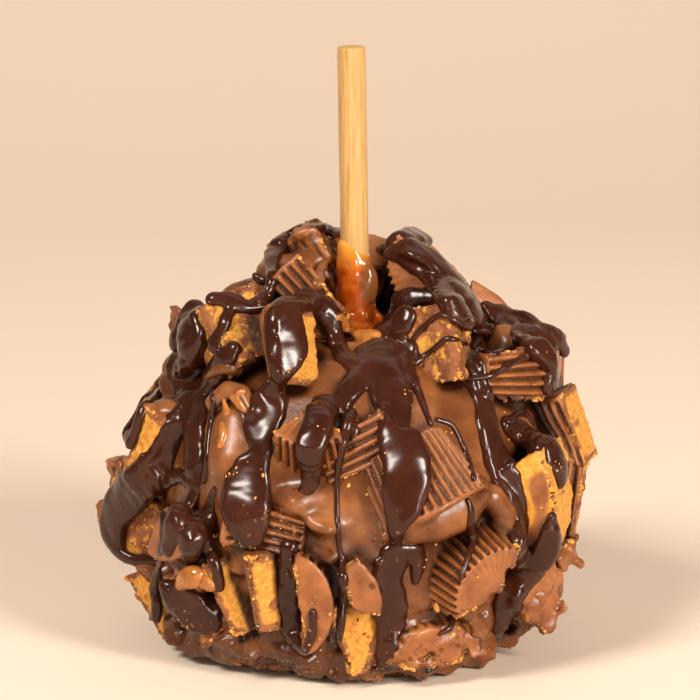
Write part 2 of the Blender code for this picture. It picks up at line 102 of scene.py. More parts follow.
# A piece is a sector of a cup: degrees each side of its middle, from its rim in to a cut at this distance
# from the cup's axis.  Its middle sits at a place on the globe, and one face looks along another.  Smear is
# the share of its cuts that chocolate covers.
Piece = namedtuple("Piece", "name lon lat out cup sector inner face look_lon look_lat spin smear")
PIECES = [
    Piece("crown_right", 104, 69, 47, CUP, 80, 0.5, "base", -22, 12, 135, 0.7),
    Piece("crown_left", -34, 70, 48, CUP, 22, 5.0, "side", -20, 15, 47, 1.0),
    Piece("crown_back_left", -128, 78, 50, CUP, 34, 3.0, "rim", -95, 62, 60, 0.8),
    Piece("shoulder_left", -57, 49, 48, CUP, 48, 2.0, "core", -25, 20, 40, 0.72),
    Piece("shoulder_front_left", -28, 49, 47, CUP, 38, 1.0, "cheek", 5, 25, 0, 0.05),
    Piece("shoulder_front_right", 42, 50, 47, CUP, 37, 1.0, "core", 20, 18, 0, 0.9),
    Piece("belt_front_right", 19, 13, 48, CUP, 84, 1.0, "side", 14, 24, 203, 0.3),
    Piece("belt_front_left", -12, 20, 44, CUP, 46, 1.0, "base", -8, 46, 180, 0.9),
    Piece("belt_front", 1, 21, 46, CUP, 25, 7.0, "side", 5, 15, -65, 0.3),
    Piece("skirt_front_right", 31, -11, 47, CUP, 70, 1.0, "base", 31, -12, 45, 0.4),
    Piece("shoulder_right", 64, 36, 48, CUP, 28, 3.0, "side", 45, 2, -95, 0.2),
    Piece("shoulder_far_right", 91, 29, 51, CUP, 40, 4.0, "side", 70, 10, -15, 0.6),
    Piece("belt_right", 59, 2, 48, CUP, 76, 1.0, "core", 74, 5, 97, 0.12),
    Piece("belt_far_right_top", 84, 15, 50, CUP, 40, 2.0, "cheek", 25, 10, 15, 0.1),
    Piece("belt_far_right_low", 80, -3, 49, CUP, 26, 6.0, "cheek", 60, 0, -20, 0.58),
    Piece("belt_far_left", -71, 14, 49, CUP, 26, 7.0, "cheek", -62, 15, -27, 0.05),
    Piece("skirt_far_left", -83, -8, 49, CUP, 56, 5.0, "core", -42, -5, -34, 0.95),
    Piece("skirt_left", -50, -7, 45, CUP, 40, 2.0, "rim", -52, 5, 20, 0.3),
    Piece("skirt_front_fluted", -24, -2, 46, CUP, 24, 6.0, "side", -20, 5, 80, 0.4),
    Piece("foot_slab_front", -26, -18, 48, CUP, 26, 7.0, "cheek", -15, -5, 0, 0.0),
    Piece("foot_slab_left", -37, -22, 48, CUP, 22, 8.0, "cheek", -35, -8, 15, 0.0),
    Piece("foot_slab_brown", -9, -20, 45, CUP, 60, 6.0, "rim", -8, -5, 95, 0.9),
    Piece("foot_oval", 3, -16, 44, CUP, 30, 7.0, "rim", 0, -5, 110, 0.6),
    Piece("foot_nut_lump", 1, -32, 47, CUP, 30, 1.0, "cheek", 0, -10, 10, 0.05),
    Piece("foot_right", 25, -35, 46, CUP, 72, 2.0, "base", 22, -5, 0, 0.7),
    Piece("foot_far_right", 60, -25, 47, CUP, 44, 1.0, "rim", 36, -5, 90, 0.4),
    Piece("foot_dipped", -50, -27, 48, CUP, 34, 3.0, "cheek", -42, -12, 30, 0.4),
    Piece("foot_far_left", -75, -31, 50, CUP, 36, 3.0, "cheek", -57, -12, 27, 0.3),
    Piece("crown_scrap_left", -77, 64, 48, SCRAP, 60, 1.0, "core", -40, 20, 30, 0.4),
    Piece("shoulder_scrap_left", -88, 43, 52, SCRAP, 40, 2.0, "side", -60, 20, 30, 0.6),
    Piece("belt_scrap_left", -86, 1, 52, SCRAP, 60, 1.0, "side", -60, 0, 10, 0.6),
    Piece("skirt_scrap_right", 78, -18, 50, SCRAP, 60, 1.0, "rim", 60, 0, 0, 0.4),
    Piece("foot_scrap_left", -49, -17, 49, SCRAP, 70, 0.5, "side", -45, 0, 80, 0.4),
    Piece("crown_back", 168, 68, 47, CUP, 60, 2.0, "core", 160, 25, 20, 0.3),
    Piece("crown_back_right", 118, 46, 47, CUP, 36, 4.0, "side", 125, 30, 60, 0.3),
    Piece("shoulder_back_left", -122, 42, 47, CUP, 60, 1.0, "side", -125, 35, 160, 0.3),
    Piece("shoulder_back", 172, 34, 46, CUP, 50, 2.0, "rim", 175, 40, 30, 0.3),
    Piece("belt_back_left", -112, 10, 47, CUP, 70, 1.0, "core", -110, 5, 70, 0.3),
    Piece("belt_back_middle_left", -148, 14, 46, CUP, 60, 1.0, "side", -150, 15, 30, 0.3),
    Piece("belt_back", 176, 4, 46, CUP, 40, 3.0, "cheek", 178, 0, 10, 0.3),
    Piece("belt_back_middle_right", 146, 14, 46, CUP, 62, 1.0, "base", 145, 20, 120, 0.3),
    Piece("belt_back_right", 114, 12, 47, CUP, 50, 2.0, "side", 115, 10, -20, 0.3),
    Piece("foot_back_left", -108, -22, 48, CUP, 50, 2.0, "rim", -105, -5, 90, 0.3),
    Piece("foot_back_middle_left", -138, -22, 47, CUP, 36, 3.0, "cheek", -138, -5, 0, 0.2),
    Piece("foot_back", -168, -22, 47, CUP, 70, 1.0, "side", -170, -8, 100, 0.3),
    Piece("foot_back_middle_right", 160, -22, 47, CUP, 46, 3.0, "core", 160, -5, 20, 0.3),
    Piece("foot_back_right", 128, -20, 47, CUP, 60, 2.0, "base", 128, 0, 200, 0.3),
]

FACINGS = {
    "side": ((0, 1, 0), (0, 0, 1), (1, 0, 0)),
    "core": ((0, -1, 0), (0, 0, 1), (-1, 0, 0)),
    "cheek": ((-1, 0, 0), (0, 0, 1), (0, 1, 0)),
    "rim": ((0, 1, 0), (-1, 0, 0), (0, 0, 1)),
    "base": ((0, 1, 0), (1, 0, 0), (0, 0, -1)),
}

# pieces that were dipped whole, so that chocolate rounds them and hides their flutes
DIPPED = ("crown_back_left", "foot_far_right", "foot_right", "foot_dipped", "crown_scrap_left", "shoulder_scrap_left",
          "belt_scrap_left", "foot_scrap_left", "skirt_scrap_right")
# pieces whose chocolate has come off the faces in view, down to the filling
PEELED = ("belt_right", "foot_nut_lump")
SMOOTH_CUTS = ("foot_slab_front", "foot_slab_left", "belt_far_left", "belt_far_right_low", "belt_far_right_top")

# Dark chocolate in front, along routes of (across, up, width) in millimetres over the plane through AIM that
# faces the EYE; each lands on the first surface seen there.  Each flow stands for a packed strand.
FRONT_FLOWS = {
    "strand_left": [
        [(-35.5, 79, 3.2), (-32, 80, 3.2), (-28, 79.5, 4.2), (-24.5, 77.5, 3.2), (-20.5, 78, 2.2)],
        [(-35.5, 78, 3.6), (-37, 75, 6.4), (-37, 71.5, 9.6), (-36.5, 68.5, 10.6), (-36.5, 65, 10.6),
         (-36.5, 62, 9.6), (-36, 59, 8.2), (-36, 55, 6.8), (-36, 50.5, 6), (-36, 46, 6), (-36, 42, 6)],
        [(-38, 75.5, 3.2), (-40, 71.5, 3.6), (-41, 68, 4.2), (-39.5, 64.5, 4.6)],
        [(-27.5, 78.5, 2.8), (-29, 75.5, 2.2), (-30, 72.5, 2.2), (-31.5, 69.5, 3.2)],
        # this one also fills the underside of shoulder_left, which is partly dark chocolate and partly shadow: partly
        # painted shade
        [(-27.5, 68, 3.2), (-29, 65.5, 4.6), (-31, 63, 5.6), (-33, 60, 5.6)],
        [(-40.5, 60.5, 2.8), (-43.5, 59, 2.2), (-46, 57, 2.2), (-48, 54, 2), (-49.5, 50, 2), (-51, 46.5, 2.2),
         (-53, 44, 2.8)],
        [(-38.5, 59.5, 4.2), (-40, 55.5, 4.2), (-41, 52, 4.2), (-42, 48, 5), (-43.5, 44.5, 6.4), (-45, 41.5, 7.8),
         (-47, 38.5, 8.8), (-51, 35.5, 9.6), (-54, 32, 8.8), (-55, 29, 7.8), (-55, 25.5, 6.4), (-54, 23.5, 4.2)],
        [(-56.5, 28.5, 3.6), (-56.5, 25, 3.6), (-55, 22.5, 3.6), (-52, 20, 2.8), (-49, 19.5, 2.2), (-45, 19.5, 2)],
        [(-43.5, 33, 2), (-44, 36.5, 2.2), (-42.5, 38.5, 2.6), (-39.5, 39.5, 2.8), (-37.5, 39, 2.8),
         (-35.5, 36.5, 2.8)],
        [(-36, 42.5, 5.6), (-35.5, 40, 4.2), (-35.5, 37.5, 2.8)],
        [(-43.5, 32.5, 2), (-42.5, 28, 2.2), (-43.5, 21.5, 2), (-45, 16.5, 2), (-45.5, 13, 2.2)],
        [(-35.5, 36.5, 2.2), (-37.5, 32.5, 1.6), (-38, 31, 1.2)],
        [(-32.5, 30, 2.6), (-34, 26, 2.2), (-33, 21.5, 2.2), (-31, 18, 2), (-30.5, 13.5, 2)],
        # these two cover flat faces of pieces low on the left, partly dark chocolate and partly shell in shade: partly
        # painted shade
        [(-40, 30.5, 4.2), (-41, 26, 4.6), (-42, 22.5, 2.8)],
        [(-35, 28.5, 4.2), (-36.5, 24.5, 5), (-37.5, 20.5, 3.6)],
    ],
    "strand_front_left": [
        [(-15, 94, 2.2), (-14, 95, 2.2), (-11.5, 96, 2.2), (-9, 96.5, 2.6), (-6, 96, 2.6), (-3.5, 95, 2)],
        [(-15, 94, 2.8), (-16.5, 93, 4.2), (-18, 90.5, 4.2), (-19, 88, 3), (-18, 85, 2.2), (-18.5, 82, 2.2),
         (-20.5, 79.5, 2.6), (-23.5, 78, 2.8)],
        [(-20.5, 87, 1.6), (-22, 85, 1.6), (-21, 83, 1.6), (-19.5, 84, 1.4)],
        [(-17.5, 75, 3.6), (-16, 77.5, 6.4), (-13.5, 79, 7.8), (-10, 79, 7.4), (-7.5, 77.5, 6), (-5, 75.5, 4),
         (-4, 72, 2.8), (-3.5, 69, 2.8)],
        [(-15.5, 75, 7.8), (-15, 71, 9.2), (-15, 68, 9.2), (-15.5, 65, 6.8), (-16.5, 62, 3.6)],
        [(-17.5, 60, 3.6), (-18.5, 57.5, 6.8), (-20, 54, 8.8), (-20.5, 51, 8.6), (-21, 48, 6.4), (-20.5, 45, 4.6)],
        [(-20.5, 45, 4.6), (-22, 42.5, 6.2), (-23.5, 39.5, 8.8), (-24.5, 36, 10.8), (-24.5, 32, 11), (-24, 29, 9.6),
         (-23.5, 25.5, 5.6)],
        [(-33, 30, 1.8), (-32.5, 32.5, 2.2), (-31.5, 35, 2.6), (-29.5, 36.5, 2.8), (-27.5, 36.5, 2.6)],
        [(-3.5, 70.5, 3), (-3, 67, 3.2), (-0.5, 65, 3.6), (2.5, 63.5, 3.6), (4.5, 62.5, 3.6)],
        [(-6.5, 55, 6), (-7.5, 52, 6.6), (-9, 48, 6.4), (-10, 44.5, 6.2), (-9.5, 41.5, 4.4), (-9.5, 38, 3.6),
         (-10, 35.5, 2.8), (-11.5, 34.5, 1.8), (-13.5, 35.5, 1.4)],
        [(-1, 53.5, 2), (0, 51, 3.2), (0.5, 48, 1.8)],
        [(-40.5, 13, 5), (-38, 10.5, 8.8), (-36.5, 8, 10.2), (-34, 5.5, 7.8), (-32, 8, 4.6)],
        [(-33, 11, 2.2), (-32, 8, 3.2), (-32, 4.5, 2.8)],
        [(-45.5, 12.5, 2.2), (-44.5, 9.5, 3), (-45, 6.5, 1.6)],
        [(-42.5, 13.5, 2.8), (-41.5, 9.5, 4.2), (-39.5, 5.5, 3.2), (-37.5, 2.5, 1.8)],
    ],
    "strand_front": [
        [(3.5, 70.5, 6), (7.5, 71, 8.2), (10.5, 72.5, 7.8), (12.5, 75.5, 4.6)],
        [(4.5, 66.5, 6.8), (8, 68, 8.8), (12, 67, 6.8)],
        [(3.5, 63.5, 5), (1, 60.5, 5.6), (-1.5, 58, 5.6), (-2.5, 55.5, 3.6)],
        [(7.5, 65, 8.2), (8.5, 60, 8.8), (9, 55.5, 8.8), (9.5, 51, 8.2), (10, 47.5, 7.8)],
        [(11.5, 45.5, 9.2), (12.5, 42.5, 9.6), (12.5, 38, 10.2), (12, 34, 9.6), (11, 30.5, 6.8), (10, 27, 3.2),
         (10, 24, 2.6)],
        [(11, 64.5, 5), (12, 61, 5.6)],
    ],
    "strand_right": [
        [(7.5, 91, 2.8), (9, 92.5, 3.6), (12, 93.5, 5), (15, 94, 6), (18, 93.5, 6.4)],
        [(10, 91, 2.8), (13, 91, 4.6), (15.5, 90.5, 7.8), (18.5, 88.5, 9.6), (21.5, 85, 10.2), (24.5, 81.5, 10.6),
         (26.5, 78, 10.2), (28.5, 75.5, 7.4), (29, 72.5, 5)],
        [(8.5, 90, 2), (11.5, 89, 2.6), (14, 88, 3.6), (17.5, 85.5, 5), (20, 82.5, 6), (22.5, 79, 6.8),
         (25, 76, 6.4)],
        [(19.5, 80.5, 4.2), (16.5, 80.5, 4.2), (13.5, 80, 4.6), (11, 78, 5), (9, 75.5, 5), (7.5, 72.5, 5),
         (5, 71, 3.6)],
        [(28, 72.5, 4.6), (27.5, 68, 4.6), (28, 64, 5.6), (28, 60, 5.6), (30, 57, 4.6), (30.5, 53.5, 5),
         (31, 49.5, 5), (32.5, 45, 6), (34, 40.5, 7.4), (36, 36, 8.2), (37, 31, 7.4), (38.5, 26.5, 5.6),
         (39, 22, 4.6), (38.5, 18.5, 4.6)],
        [(38.5, 18.5, 4.6), (37.5, 14, 5.6), (36, 10, 6), (34, 6.5, 5.6), (33.5, 3.5, 3.4), (33, 1.5, 1.8)],
        [(46, 30, 1.4), (45.5, 27.5, 3.6), (45.5, 24.5, 6.4), (44.5, 21.5, 6.8), (42.5, 19, 5.6), (40.5, 16.5, 5),
         (38, 14, 4.6)],
    ],
    "strand_shoulder_right": [
        [(31, 78, 3.2), (32.5, 76, 5.6), (35.5, 73.5, 6), (38, 71, 6), (41.5, 69, 6), (44, 67.5, 6), (46, 65, 4.6),
         (45.5, 62, 3.2), (44.5, 59, 1.8)],
        [(34, 77, 2.8), (36.5, 76.5, 3.2), (40, 76, 4.2), (43.5, 73.5, 4.2), (47, 71, 4.2), (48.5, 68, 2.8)],
        [(35.5, 75.5, 4.6), (38.5, 73.5, 5), (42.5, 71, 5), (45, 69, 4.6)],
    ],
    "strand_belt_right": [
        [(36, 50.5, 3.6), (38, 49.5, 5), (41, 48, 5.6), (43.5, 46, 6.4), (46, 43.5, 6.8), (48, 41.5, 6.4),
         (47.5, 38.5, 3.2)],
    ],
    "strand_low_left": [
        [(-14.5, 22.5, 4.2), (-14.5, 18.5, 4.6), (-14.5, 13, 4.8), (-14.5, 8, 4.8), (-14, 3, 4.6), (-12.5,
         -0.5, 4.2), (-11, -2, 2.2), (-10, 0.5, 1.8), (-9, 3.5, 1.4), (-9, 8, 1)],
    ],
    "strand_low_front": [
        [(8, 21.5, 3.2), (11.5, 22, 4.6), (14.5, 21.5, 4.2)],
        [(15, 20.5, 3.2), (15, 18, 3.2), (14.5, 15, 2)],
        [(10.5, 19.5, 5), (9, 17, 5), (8.5, 13.5, 6.4), (9, 10.5, 7.4), (9, 7.5, 6.8), (8.5, 4, 5), (8.5, 1, 4.6),
         (8.5, -2, 5), (8, -4, 4.6)],
        [(6.5, 19, 2.8), (6, 15, 2.8), (7, 11, 3.2)],
    ],
}
# and behind, along routes of (longitude, latitude, width)
BACK_FLOWS = {
    "strand_back_left": [
        [(-118, 66, 6), (-124, 50, 7), (-130, 32, 6.5), (-128, 14, 6), (-124, -4, 6.5), (-122, -16, 4)],
        [(-126, 42, 5), (-150, 28, 5.5), (-162, 12, 6), (-160, -8, 5)],
    ],
    "strand_back_right": [
        [(-176, 62, 6), (178, 46, 6.5), (165, 30, 6.5), (152, 16, 6), (148, -2, 6.5), (146, -18, 4)],
        [(168, 34, 5), (140, 38, 6), (124, 26, 6), (110, 6, 6), (106, -14, 5)],
    ],
}
# Milk chocolate and caramel smeared on in front, the same way.
MILK_SMEARS = [
        [(-6.5, 88, 1.8), (-7.5, 85.5, 2.8), (-8, 83, 2.2)],
        [(-33, 62, 1.8), (-30, 64, 2.4), (-26.5, 63, 2.0)],
]
AMBER_SMEARS = [
        [(-29.5, 56.5, 1.4), (-29, 54.5, 2.2), (-29, 53.5, 1.8)],
        [(-27.5, 57, 1.8), (-26, 55.5, 2.2), (-24.5, 54, 1.4)],
        [(-30, 51, 1.8), (-29.5, 48, 2.2), (-30.5, 46, 1.4)],
        [(-26.5, 58, 1.2), (-25, 58.5, 1.4)],
        [(0, 72.5, 4.6), (3, 71.5, 6), (6, 71.5, 3.6)],
        [(-2, 73.5, 3.2), (-3.5, 75.5, 2.2)],
]
# a glossy bead of caramel near the foot
BEAD = [(-39.5, 14, 3.0), (-38, 15.5, 4.6), (-35.5, 16, 5.4), (-33.5, 15, 4.4), (-32.5, 14, 3.0)]
# thin threads, in front and behind
FRONT_THREADS = [
    [(-32, 59, 1.6), (-32, 54, 1.4), (-33, 47.5, 1.4), (-33.5, 40.5, 1.4), (-34, 38, 1.4)],
    [(0, 53.5, 2.2), (-1, 51, 2.2), (-2, 47.5, 2), (-3, 42.5, 1.6), (-3.5, 38, 1.2), (-3.5, 31, 1.2), (-3,
         22.5, 1.2), (-2, 18.5, 1.8), (-2, 12.5, 2.2), (-2.5, 6, 2), (-3, 2, 1.8)],
    [(14.5, 60, 1.8), (16, 56.5, 1.8), (17, 53.5, 1.4), (18, 51, 1.2)],
    [(19.5, 52, 1.2), (23, 51, 1.2), (25, 47, 1.2), (27, 42.5, 1.2), (28, 38.5, 1.4)],
    [(26.5, 33.5, 1.2), (27.5, 31, 1.6), (27, 27, 1.8), (28, 24.5, 1.6), (26.5, 19.5, 1.4), (25, 15.5, 1)],
    [(14, 70.5, 1.4), (16, 73, 1.4), (20, 76.5, 1.4), (23.5, 75, 1.4), (27, 73, 1.4)],
    [(14.5, 65, 1.4), (18.5, 68, 1.4), (22, 71, 1.4), (26, 69.5, 1.4)],
    [(28, 72.5, 1.4), (32, 72, 1.2)],
    [(28.5, 68, 1.4), (32.5, 67, 1.2), (36.5, 68.5, 1.2)],
    [(27, 61.5, 1.6), (32, 62, 1.4), (36.5, 65, 1.4), (39.5, 66.5, 1.4)],
    [(36, 51.5, 1.4), (38, 53.5, 1.2), (40, 53.5, 1.2), (41.5, 51, 1)],
]
THREADS = [
    [(24, -28, 1), (28, -27, 2), (31, -26, 1.2)],
    [(-140, 40, 1.6), (-156, 44, 1.8), (-172, 50, 2)],
    [(130, 52, 2), (140, 44, 1.7), (150, 40, 1.6), (158, 36, 2)],
    [(178, 20, 1.8), (174, 8, 1.6), (176, -6, 1.5), (174, -18, 1.2)],
    [(-100, 40, 2), (-104, 28, 1.8), (-102, 14, 1.8), (-98, 2, 1.6), (-100, -10, 1.2)],
]

# Milk chocolate that has gathered, as balls of (longitude, latitude, distance, radius) ...
LUMPS = [
    (-75, 68, 49, 5.0), (-60, 66, 48, 4.5), (-95, 70, 50, 5.0), (-100, 78, 50, 4.5),
    (-32, -12, 43, 6.0), (-15, 6, 45, 3.0), (-8, 0, 45, 3.5), (-8, -7, 44, 3.5),
    (20, -34, 48, 5.0), (31, -39, 49, 5.5), (12, -39, 49, 4.5), (42, -37, 49, 5.0), (48, -43, 51, 4.0),
    (24, -41, 51, 4.0), (62, -31, 51, 5.0), (68, -24, 52, 4.0), (66, -37, 50, 3.6), (-22, -36, 47, 6.0),
    (-34, -37, 49, 5.0), (-45, -38, 51, 5.0), (-12, -40, 49, 4.5), (-1, -41, 50, 4.5), (-56, -37, 52, 4.5),
    (-66, -35, 53, 4.0), (-76, -24, 51, 4.5), (-86, -32, 51, 5.0), (-70, 22, 47, 5.0), (-80, 32, 46, 4.5),
    (-60, 60, 46, 4.5), (-84, 56, 47, 4.0), (-100, 58, 48, 4.5), (-100, 8, 49, 5.0), (-96, -8, 49, 5.0),
    (86, 2, 49, 5.0), (96, 16, 49, 5.0), (88, -12, 48, 5.0), (84, 42, 48, 4.5),
    (98, 40, 49, 4.5), (120, 58, 48, 4.5), (92, -28, 50, 5.0), (112, -30, 50, 5.0),
    (140, -34, 50, 5.0), (172, -34, 50, 5.0), (-150, -34, 50, 5.0), (-122, -32, 51, 5.0), (-176, 18, 46, 5.0),
    (132, 0, 47, 5.0), (-136, 0, 47, 5.0), (-160, 40, 46, 5.0), (150, 52, 46, 5.0), (160, -8, 46, 5.0),
    (-112, 28, 49, 5.0),
]
# ... and as rolls along routes of (longitude, latitude, width, distance).
ROLLS = [
    [(12, -3, 4, 46.5), (16, 0, 8, 47), (22, 2, 11, 47.5), (28, 4, 11.5, 47.5), (34, 7, 9, 47), (38, 10, 5, 46)],
    [(35, 8, 4, 46.5), (40, 5, 6, 48), (43, 1, 6.4, 48.5), (43, -5, 6, 48.5), (41, -9, 4, 47.5)],
    [(-49, 30, 4, 47), (-44, 34, 4.6, 47.5), (-38, 34, 4, 47.5), (-33, 30, 3, 47)],
    [(-40, 26, 10, 43.5), (-38, 16, 12, 43.5), (-36, 6, 10, 43)],
]

# Where crumbs lie, as (longitude, latitude, spread in degrees, share).
NUT_PLACES = [
    (-20, 40, 9, 2), (-34, 12, 8, 1.5), (-20, -10, 12, 2), (-8, -28, 14, 3), (22, 36, 7, 2), (30, 24, 8, 1),
    (30, -26, 12, 3), (20, -10, 9, 1), (56, 10, 10, 2), (66, 30, 10, 1.5), (-50, -28, 12, 2), (-48, 50, 10, 1.5),
    (-60, 10, 12, 1.5), (6, 14, 9, 1), (-4, 30, 8, 1), (-44, 62, 9, 1.5), (50, 50, 8, 1), (0, -34, 12, 2),
    (90, 10, 25, 3), (130, 10, 35, 4), (180, 10, 35, 4), (-130, 10, 35, 4), (-95, -20, 20, 2), (150, 60, 20, 1),
]
BIT_PLACES = [
    (24, -34, 14, 3), (-15, -36, 16, 3), (-50, -34, 16, 2), (60, -30, 14, 2), (-20, 2, 10, 2), (-30, -6, 12, 1),
    (-55, 60, 10, 1.5), (8, -2, 12, 1), (80, 35, 12, 1), (-90, 10, 25, 2), (120, -20, 35, 3), (180, -15, 35, 3),
    (-130, -15, 35, 3), (180, 40, 30, 2), (-34, -40, 14, 4), (8, -42, 16, 4), (60, -42, 12, 2),
]


# ---------------------------------------------------------------------------------------- places and noise

def globe(lon, lat, out):
    """The point at this longitude, latitude and distance from the middle of the apple."""
    east, north = math.radians(lon), math.radians(lat)
    way = Vector((math.cos(north) * math.sin(east), -math.cos(north) * math.cos(east), math.sin(north)))
    return MIDDLE + out * way


def globe_axes(lon, lat):
    """Right, up and outwards at this place, as the columns of a matrix."""
    out = (globe(lon, lat, 1.0) - MIDDLE).normalized()
    east = math.radians(lon)
    right = Vector((math.cos(east), math.sin(east), 0.0))
    return Matrix((right, out.cross(right), out)).transposed()


class Waves:
    """Smooth random swells of about one length, from waves that run in many directions."""

    def __init__(self, seed, length, count=12):
        rng = np.random.default_rng(seed)
        ways = rng.normal(size=(count, 3))
        ways /= np.linalg.norm(ways, axis=1)[:, None]
        self.ways = (ways * (2 * np.pi / (length * rng.uniform(0.7, 1.4, (count, 1))))).astype(np.float32)
        self.shifts = rng.uniform(0, 2 * np.pi, count).astype(np.float32)

    def __call__(self, x, y, z):
        total = 0.0
        for way, shift in zip(self.ways, self.shifts):
            total = total + np.sin(way[0] * x + way[1] * y + way[2] * z + shift)
        return total / math.sqrt(len(self.shifts)) * 0.75


def crags(x, y, z, seed, size):
    """Distance to the nearest of random points about one size apart, in sizes: low in pits, high on ribs."""
    spots = np.random.default_rng(seed).random((16, 16, 16, 3)).astype(np.float32)
    px, py, pz = x / size, y / size, z / size
    cx, cy, cz = np.floor(px).astype(int), np.floor(py).astype(int), np.floor(pz).astype(int)
    best = np.full(px.shape, 9.0, np.float32)
    for i in (-1, 0, 1):
        for j in (-1, 0, 1):
            for k in (-1, 0, 1):
                spot = spots[(cx + i) % 16, (cy + j) % 16, (cz + k) % 16]
                dx = cx + i + spot[..., 0] - px
                dy = cy + j + spot[..., 1] - py
                dz = cz + k + spot[..., 2] - pz
                best = np.minimum(best, dx * dx + dy * dy + dz * dz)
    return np.sqrt(best)


def smooth_min(a, b, k):
    """The lower of two fields, blended where they are within k of each other."""
    h = np.maximum(k - np.abs(a - b), 0.0) / k
    return np.minimum(a, b) - h * h * (k * 0.25)


def smooth_max(a, b, k):
    h = np.maximum(k - np.abs(a - b), 0.0) / k
    return np.maximum(a, b) + h * h * (k * 0.25)


# -------------------------------------------------------------------------------------------------- grids

class Grid:
    """A regular grid of points between two corners."""

    def __init__(self, low, high, step):
        self.step = step
        self.low = np.array(low, np.float64)
        self.shape = tuple(int(n) for n in np.ceil((np.array(high) - self.low) / step) + 1)
        axes = [self.low[i] + step * np.arange(self.shape[i]) for i in range(3)]
        self.x = axes[0].astype(np.float32)[:, None, None]
        self.y = axes[1].astype(np.float32)[None, :, None]
        self.z = axes[2].astype(np.float32)[None, None, :]

    def window(self, low, high):
        """The slices that cover a box."""
        first = np.floor((np.array(low) - self.low) / self.step).astype(int)
        last = np.ceil((np.array(high) - self.low) / self.step).astype(int) + 1
        return tuple(slice(max(0, a), max(0, min(n, b))) for a, b, n in zip(first, last, self.shape))

    def axes(self, window):
        return self.x[window[0]], self.y[:, window[1]], self.z[:, :, window[2]]


def slopes(grid, values, points, reach=0.8):
    """The directions in which a field rises fastest at these points."""
    rise = np.stack([sample(grid, values, points + step) - sample(grid, values, points - step)
                     for step in np.eye(3) * reach], 1)
    return rise / np.maximum(np.linalg.norm(rise, axis=1), 1e-3)[:, None]


def painted_crevice_shade(grid, values, points):
    """How closed in each point is by the surface round it, from 0 in the open to 1; colours darken by it as painted
    shade in crevices.
    """
    out = slopes(grid, values, points, 1.2)
    here = np.minimum(sample(grid, values, points), 0)
    shut = sum(np.clip(1 - (sample(grid, values, points + out * far) - here) / far, 0, 1) for far in (2.0, 4.0)) / 2
    return np.clip(shut * 2.2 - 0.3, 0, 1)


def sample(grid, values, points):
    """Values between the points of a grid, at an (n, 3) array of points."""
    place = (points - grid.low) / grid.step
    place = np.clip(place, 0, np.array(grid.shape) - 1.001)
    first = place.astype(int)
    part = (place - first).astype(np.float32)
    i, j, k = first.T
    u, v, w = part.T
    total = np.zeros(len(points), np.float32)
    for a, wa in ((0, 1 - u), (1, u)):
        for b, wb in ((0, 1 - v), (1, v)):
            for c, wc in ((0, 1 - w), (1, w)):
                total += values[i + a, j + b, k + c] * wa * wb * wc
    return total


def skin(name, grid, values, relax=0):
    """The mesh where a field is zero."""
    band = 3.0 * grid.step
    cells = vdb.FloatGrid(band)
    field = np.clip(values, -band, band).astype(np.float32)
    for edge in (0, -1):
        field[edge], field[:, edge], field[:, :, edge] = band, band, band
    cells.copyFromArray(field)
    points, quads = cells.convertToQuads(0.0)
    points = np.asarray(points, np.float64)
    quads = np.asarray(quads)[:, ::-1]
    points = relaxed(points, quads, relax) * grid.step + grid.low
    mesh = bpy.data.meshes.new(name)
    mesh.vertices.add(len(points))
    mesh.vertices.foreach_set("co", (points * MM).astype(np.float32).ravel())
    mesh.loops.add(len(quads) * 4)
    mesh.loops.foreach_set("vertex_index", quads.astype(np.int32).ravel())
    mesh.polygons.add(len(quads))
    mesh.polygons.foreach_set("loop_start", np.arange(0, len(quads) * 4, 4, dtype=np.int32))
    mesh.update(calc_edges=True)
    mesh.validate()
    mesh.shade_smooth()
    return mesh, points


def relaxed(points, quads, rounds):
    """Points moved to the middle of their neighbours and most of the way back, to take the grid's grain off."""
    if not rounds:
        return points
    pairs = np.concatenate([quads[:, [i, (i + 1) % 4]] for i in range(4)])
    count = np.bincount(pairs[:, 0], minlength=len(points)) + np.bincount(pairs[:, 1], minlength=len(points))
    count = np.maximum(count, 1)
    for turn in range(2 * rounds):
        total = np.empty_like(points)
        for axis in range(3):
            total[:, axis] = np.bincount(pairs[:, 0], points[pairs[:, 1], axis], minlength=len(points))
            total[:, axis] += np.bincount(pairs[:, 1], points[pairs[:, 0], axis], minlength=len(points))
        points = points + (0.5 if turn % 2 == 0 else -0.52) * (total / count[:, None] - points)
    return points


def profile_table(outline):
    """Signed distances to a closed outline of radius and height, on a quarter millimetre table."""
    grid_r, grid_z = np.meshgrid(np.arange(0, 75, 0.25), np.arange(-8, 110, 0.25), indexing="ij")
    best = np.full(grid_r.shape, 1e9)
    inside = np.zeros(grid_r.shape, bool)
    for (r0, z0), (r1, z1) in zip(outline, outline[1:]):
        dr, dz = r1 - r0, z1 - z0
        t = np.clip(((grid_r - r0) * dr + (grid_z - z0) * dz) / (dr * dr + dz * dz), 0, 1)
        best = np.minimum(best, np.hypot(grid_r - r0 - t * dr, grid_z - z0 - t * dz))
        if z0 != z1:
            crosses = (z0 > grid_z) != (z1 > grid_z)
            inside ^= crosses & (grid_r < r0 + (grid_z - z0) / (z1 - z0) * dr)
    return np.where(inside, -best, best).astype(np.float32)


def profile_distance(table, r, z):
    r, z = np.broadcast_arrays(r, z)
    u = np.clip(r * 4, 0, table.shape[0] - 1.01)
    v = np.clip((z + 8) * 4, 0, table.shape[1] - 1.01)
    i, j = u.astype(int), v.astype(int)
    fu, fv = u - i, v - j
    low = table[i, j] * (1 - fu) + table[i + 1, j] * fu
    high = table[i, j + 1] * (1 - fu) + table[i + 1, j + 1] * fu
    return (low * (1 - fv) + high * fv).astype(np.float32)


# ------------------------------------------------------------------------------------------------- fields

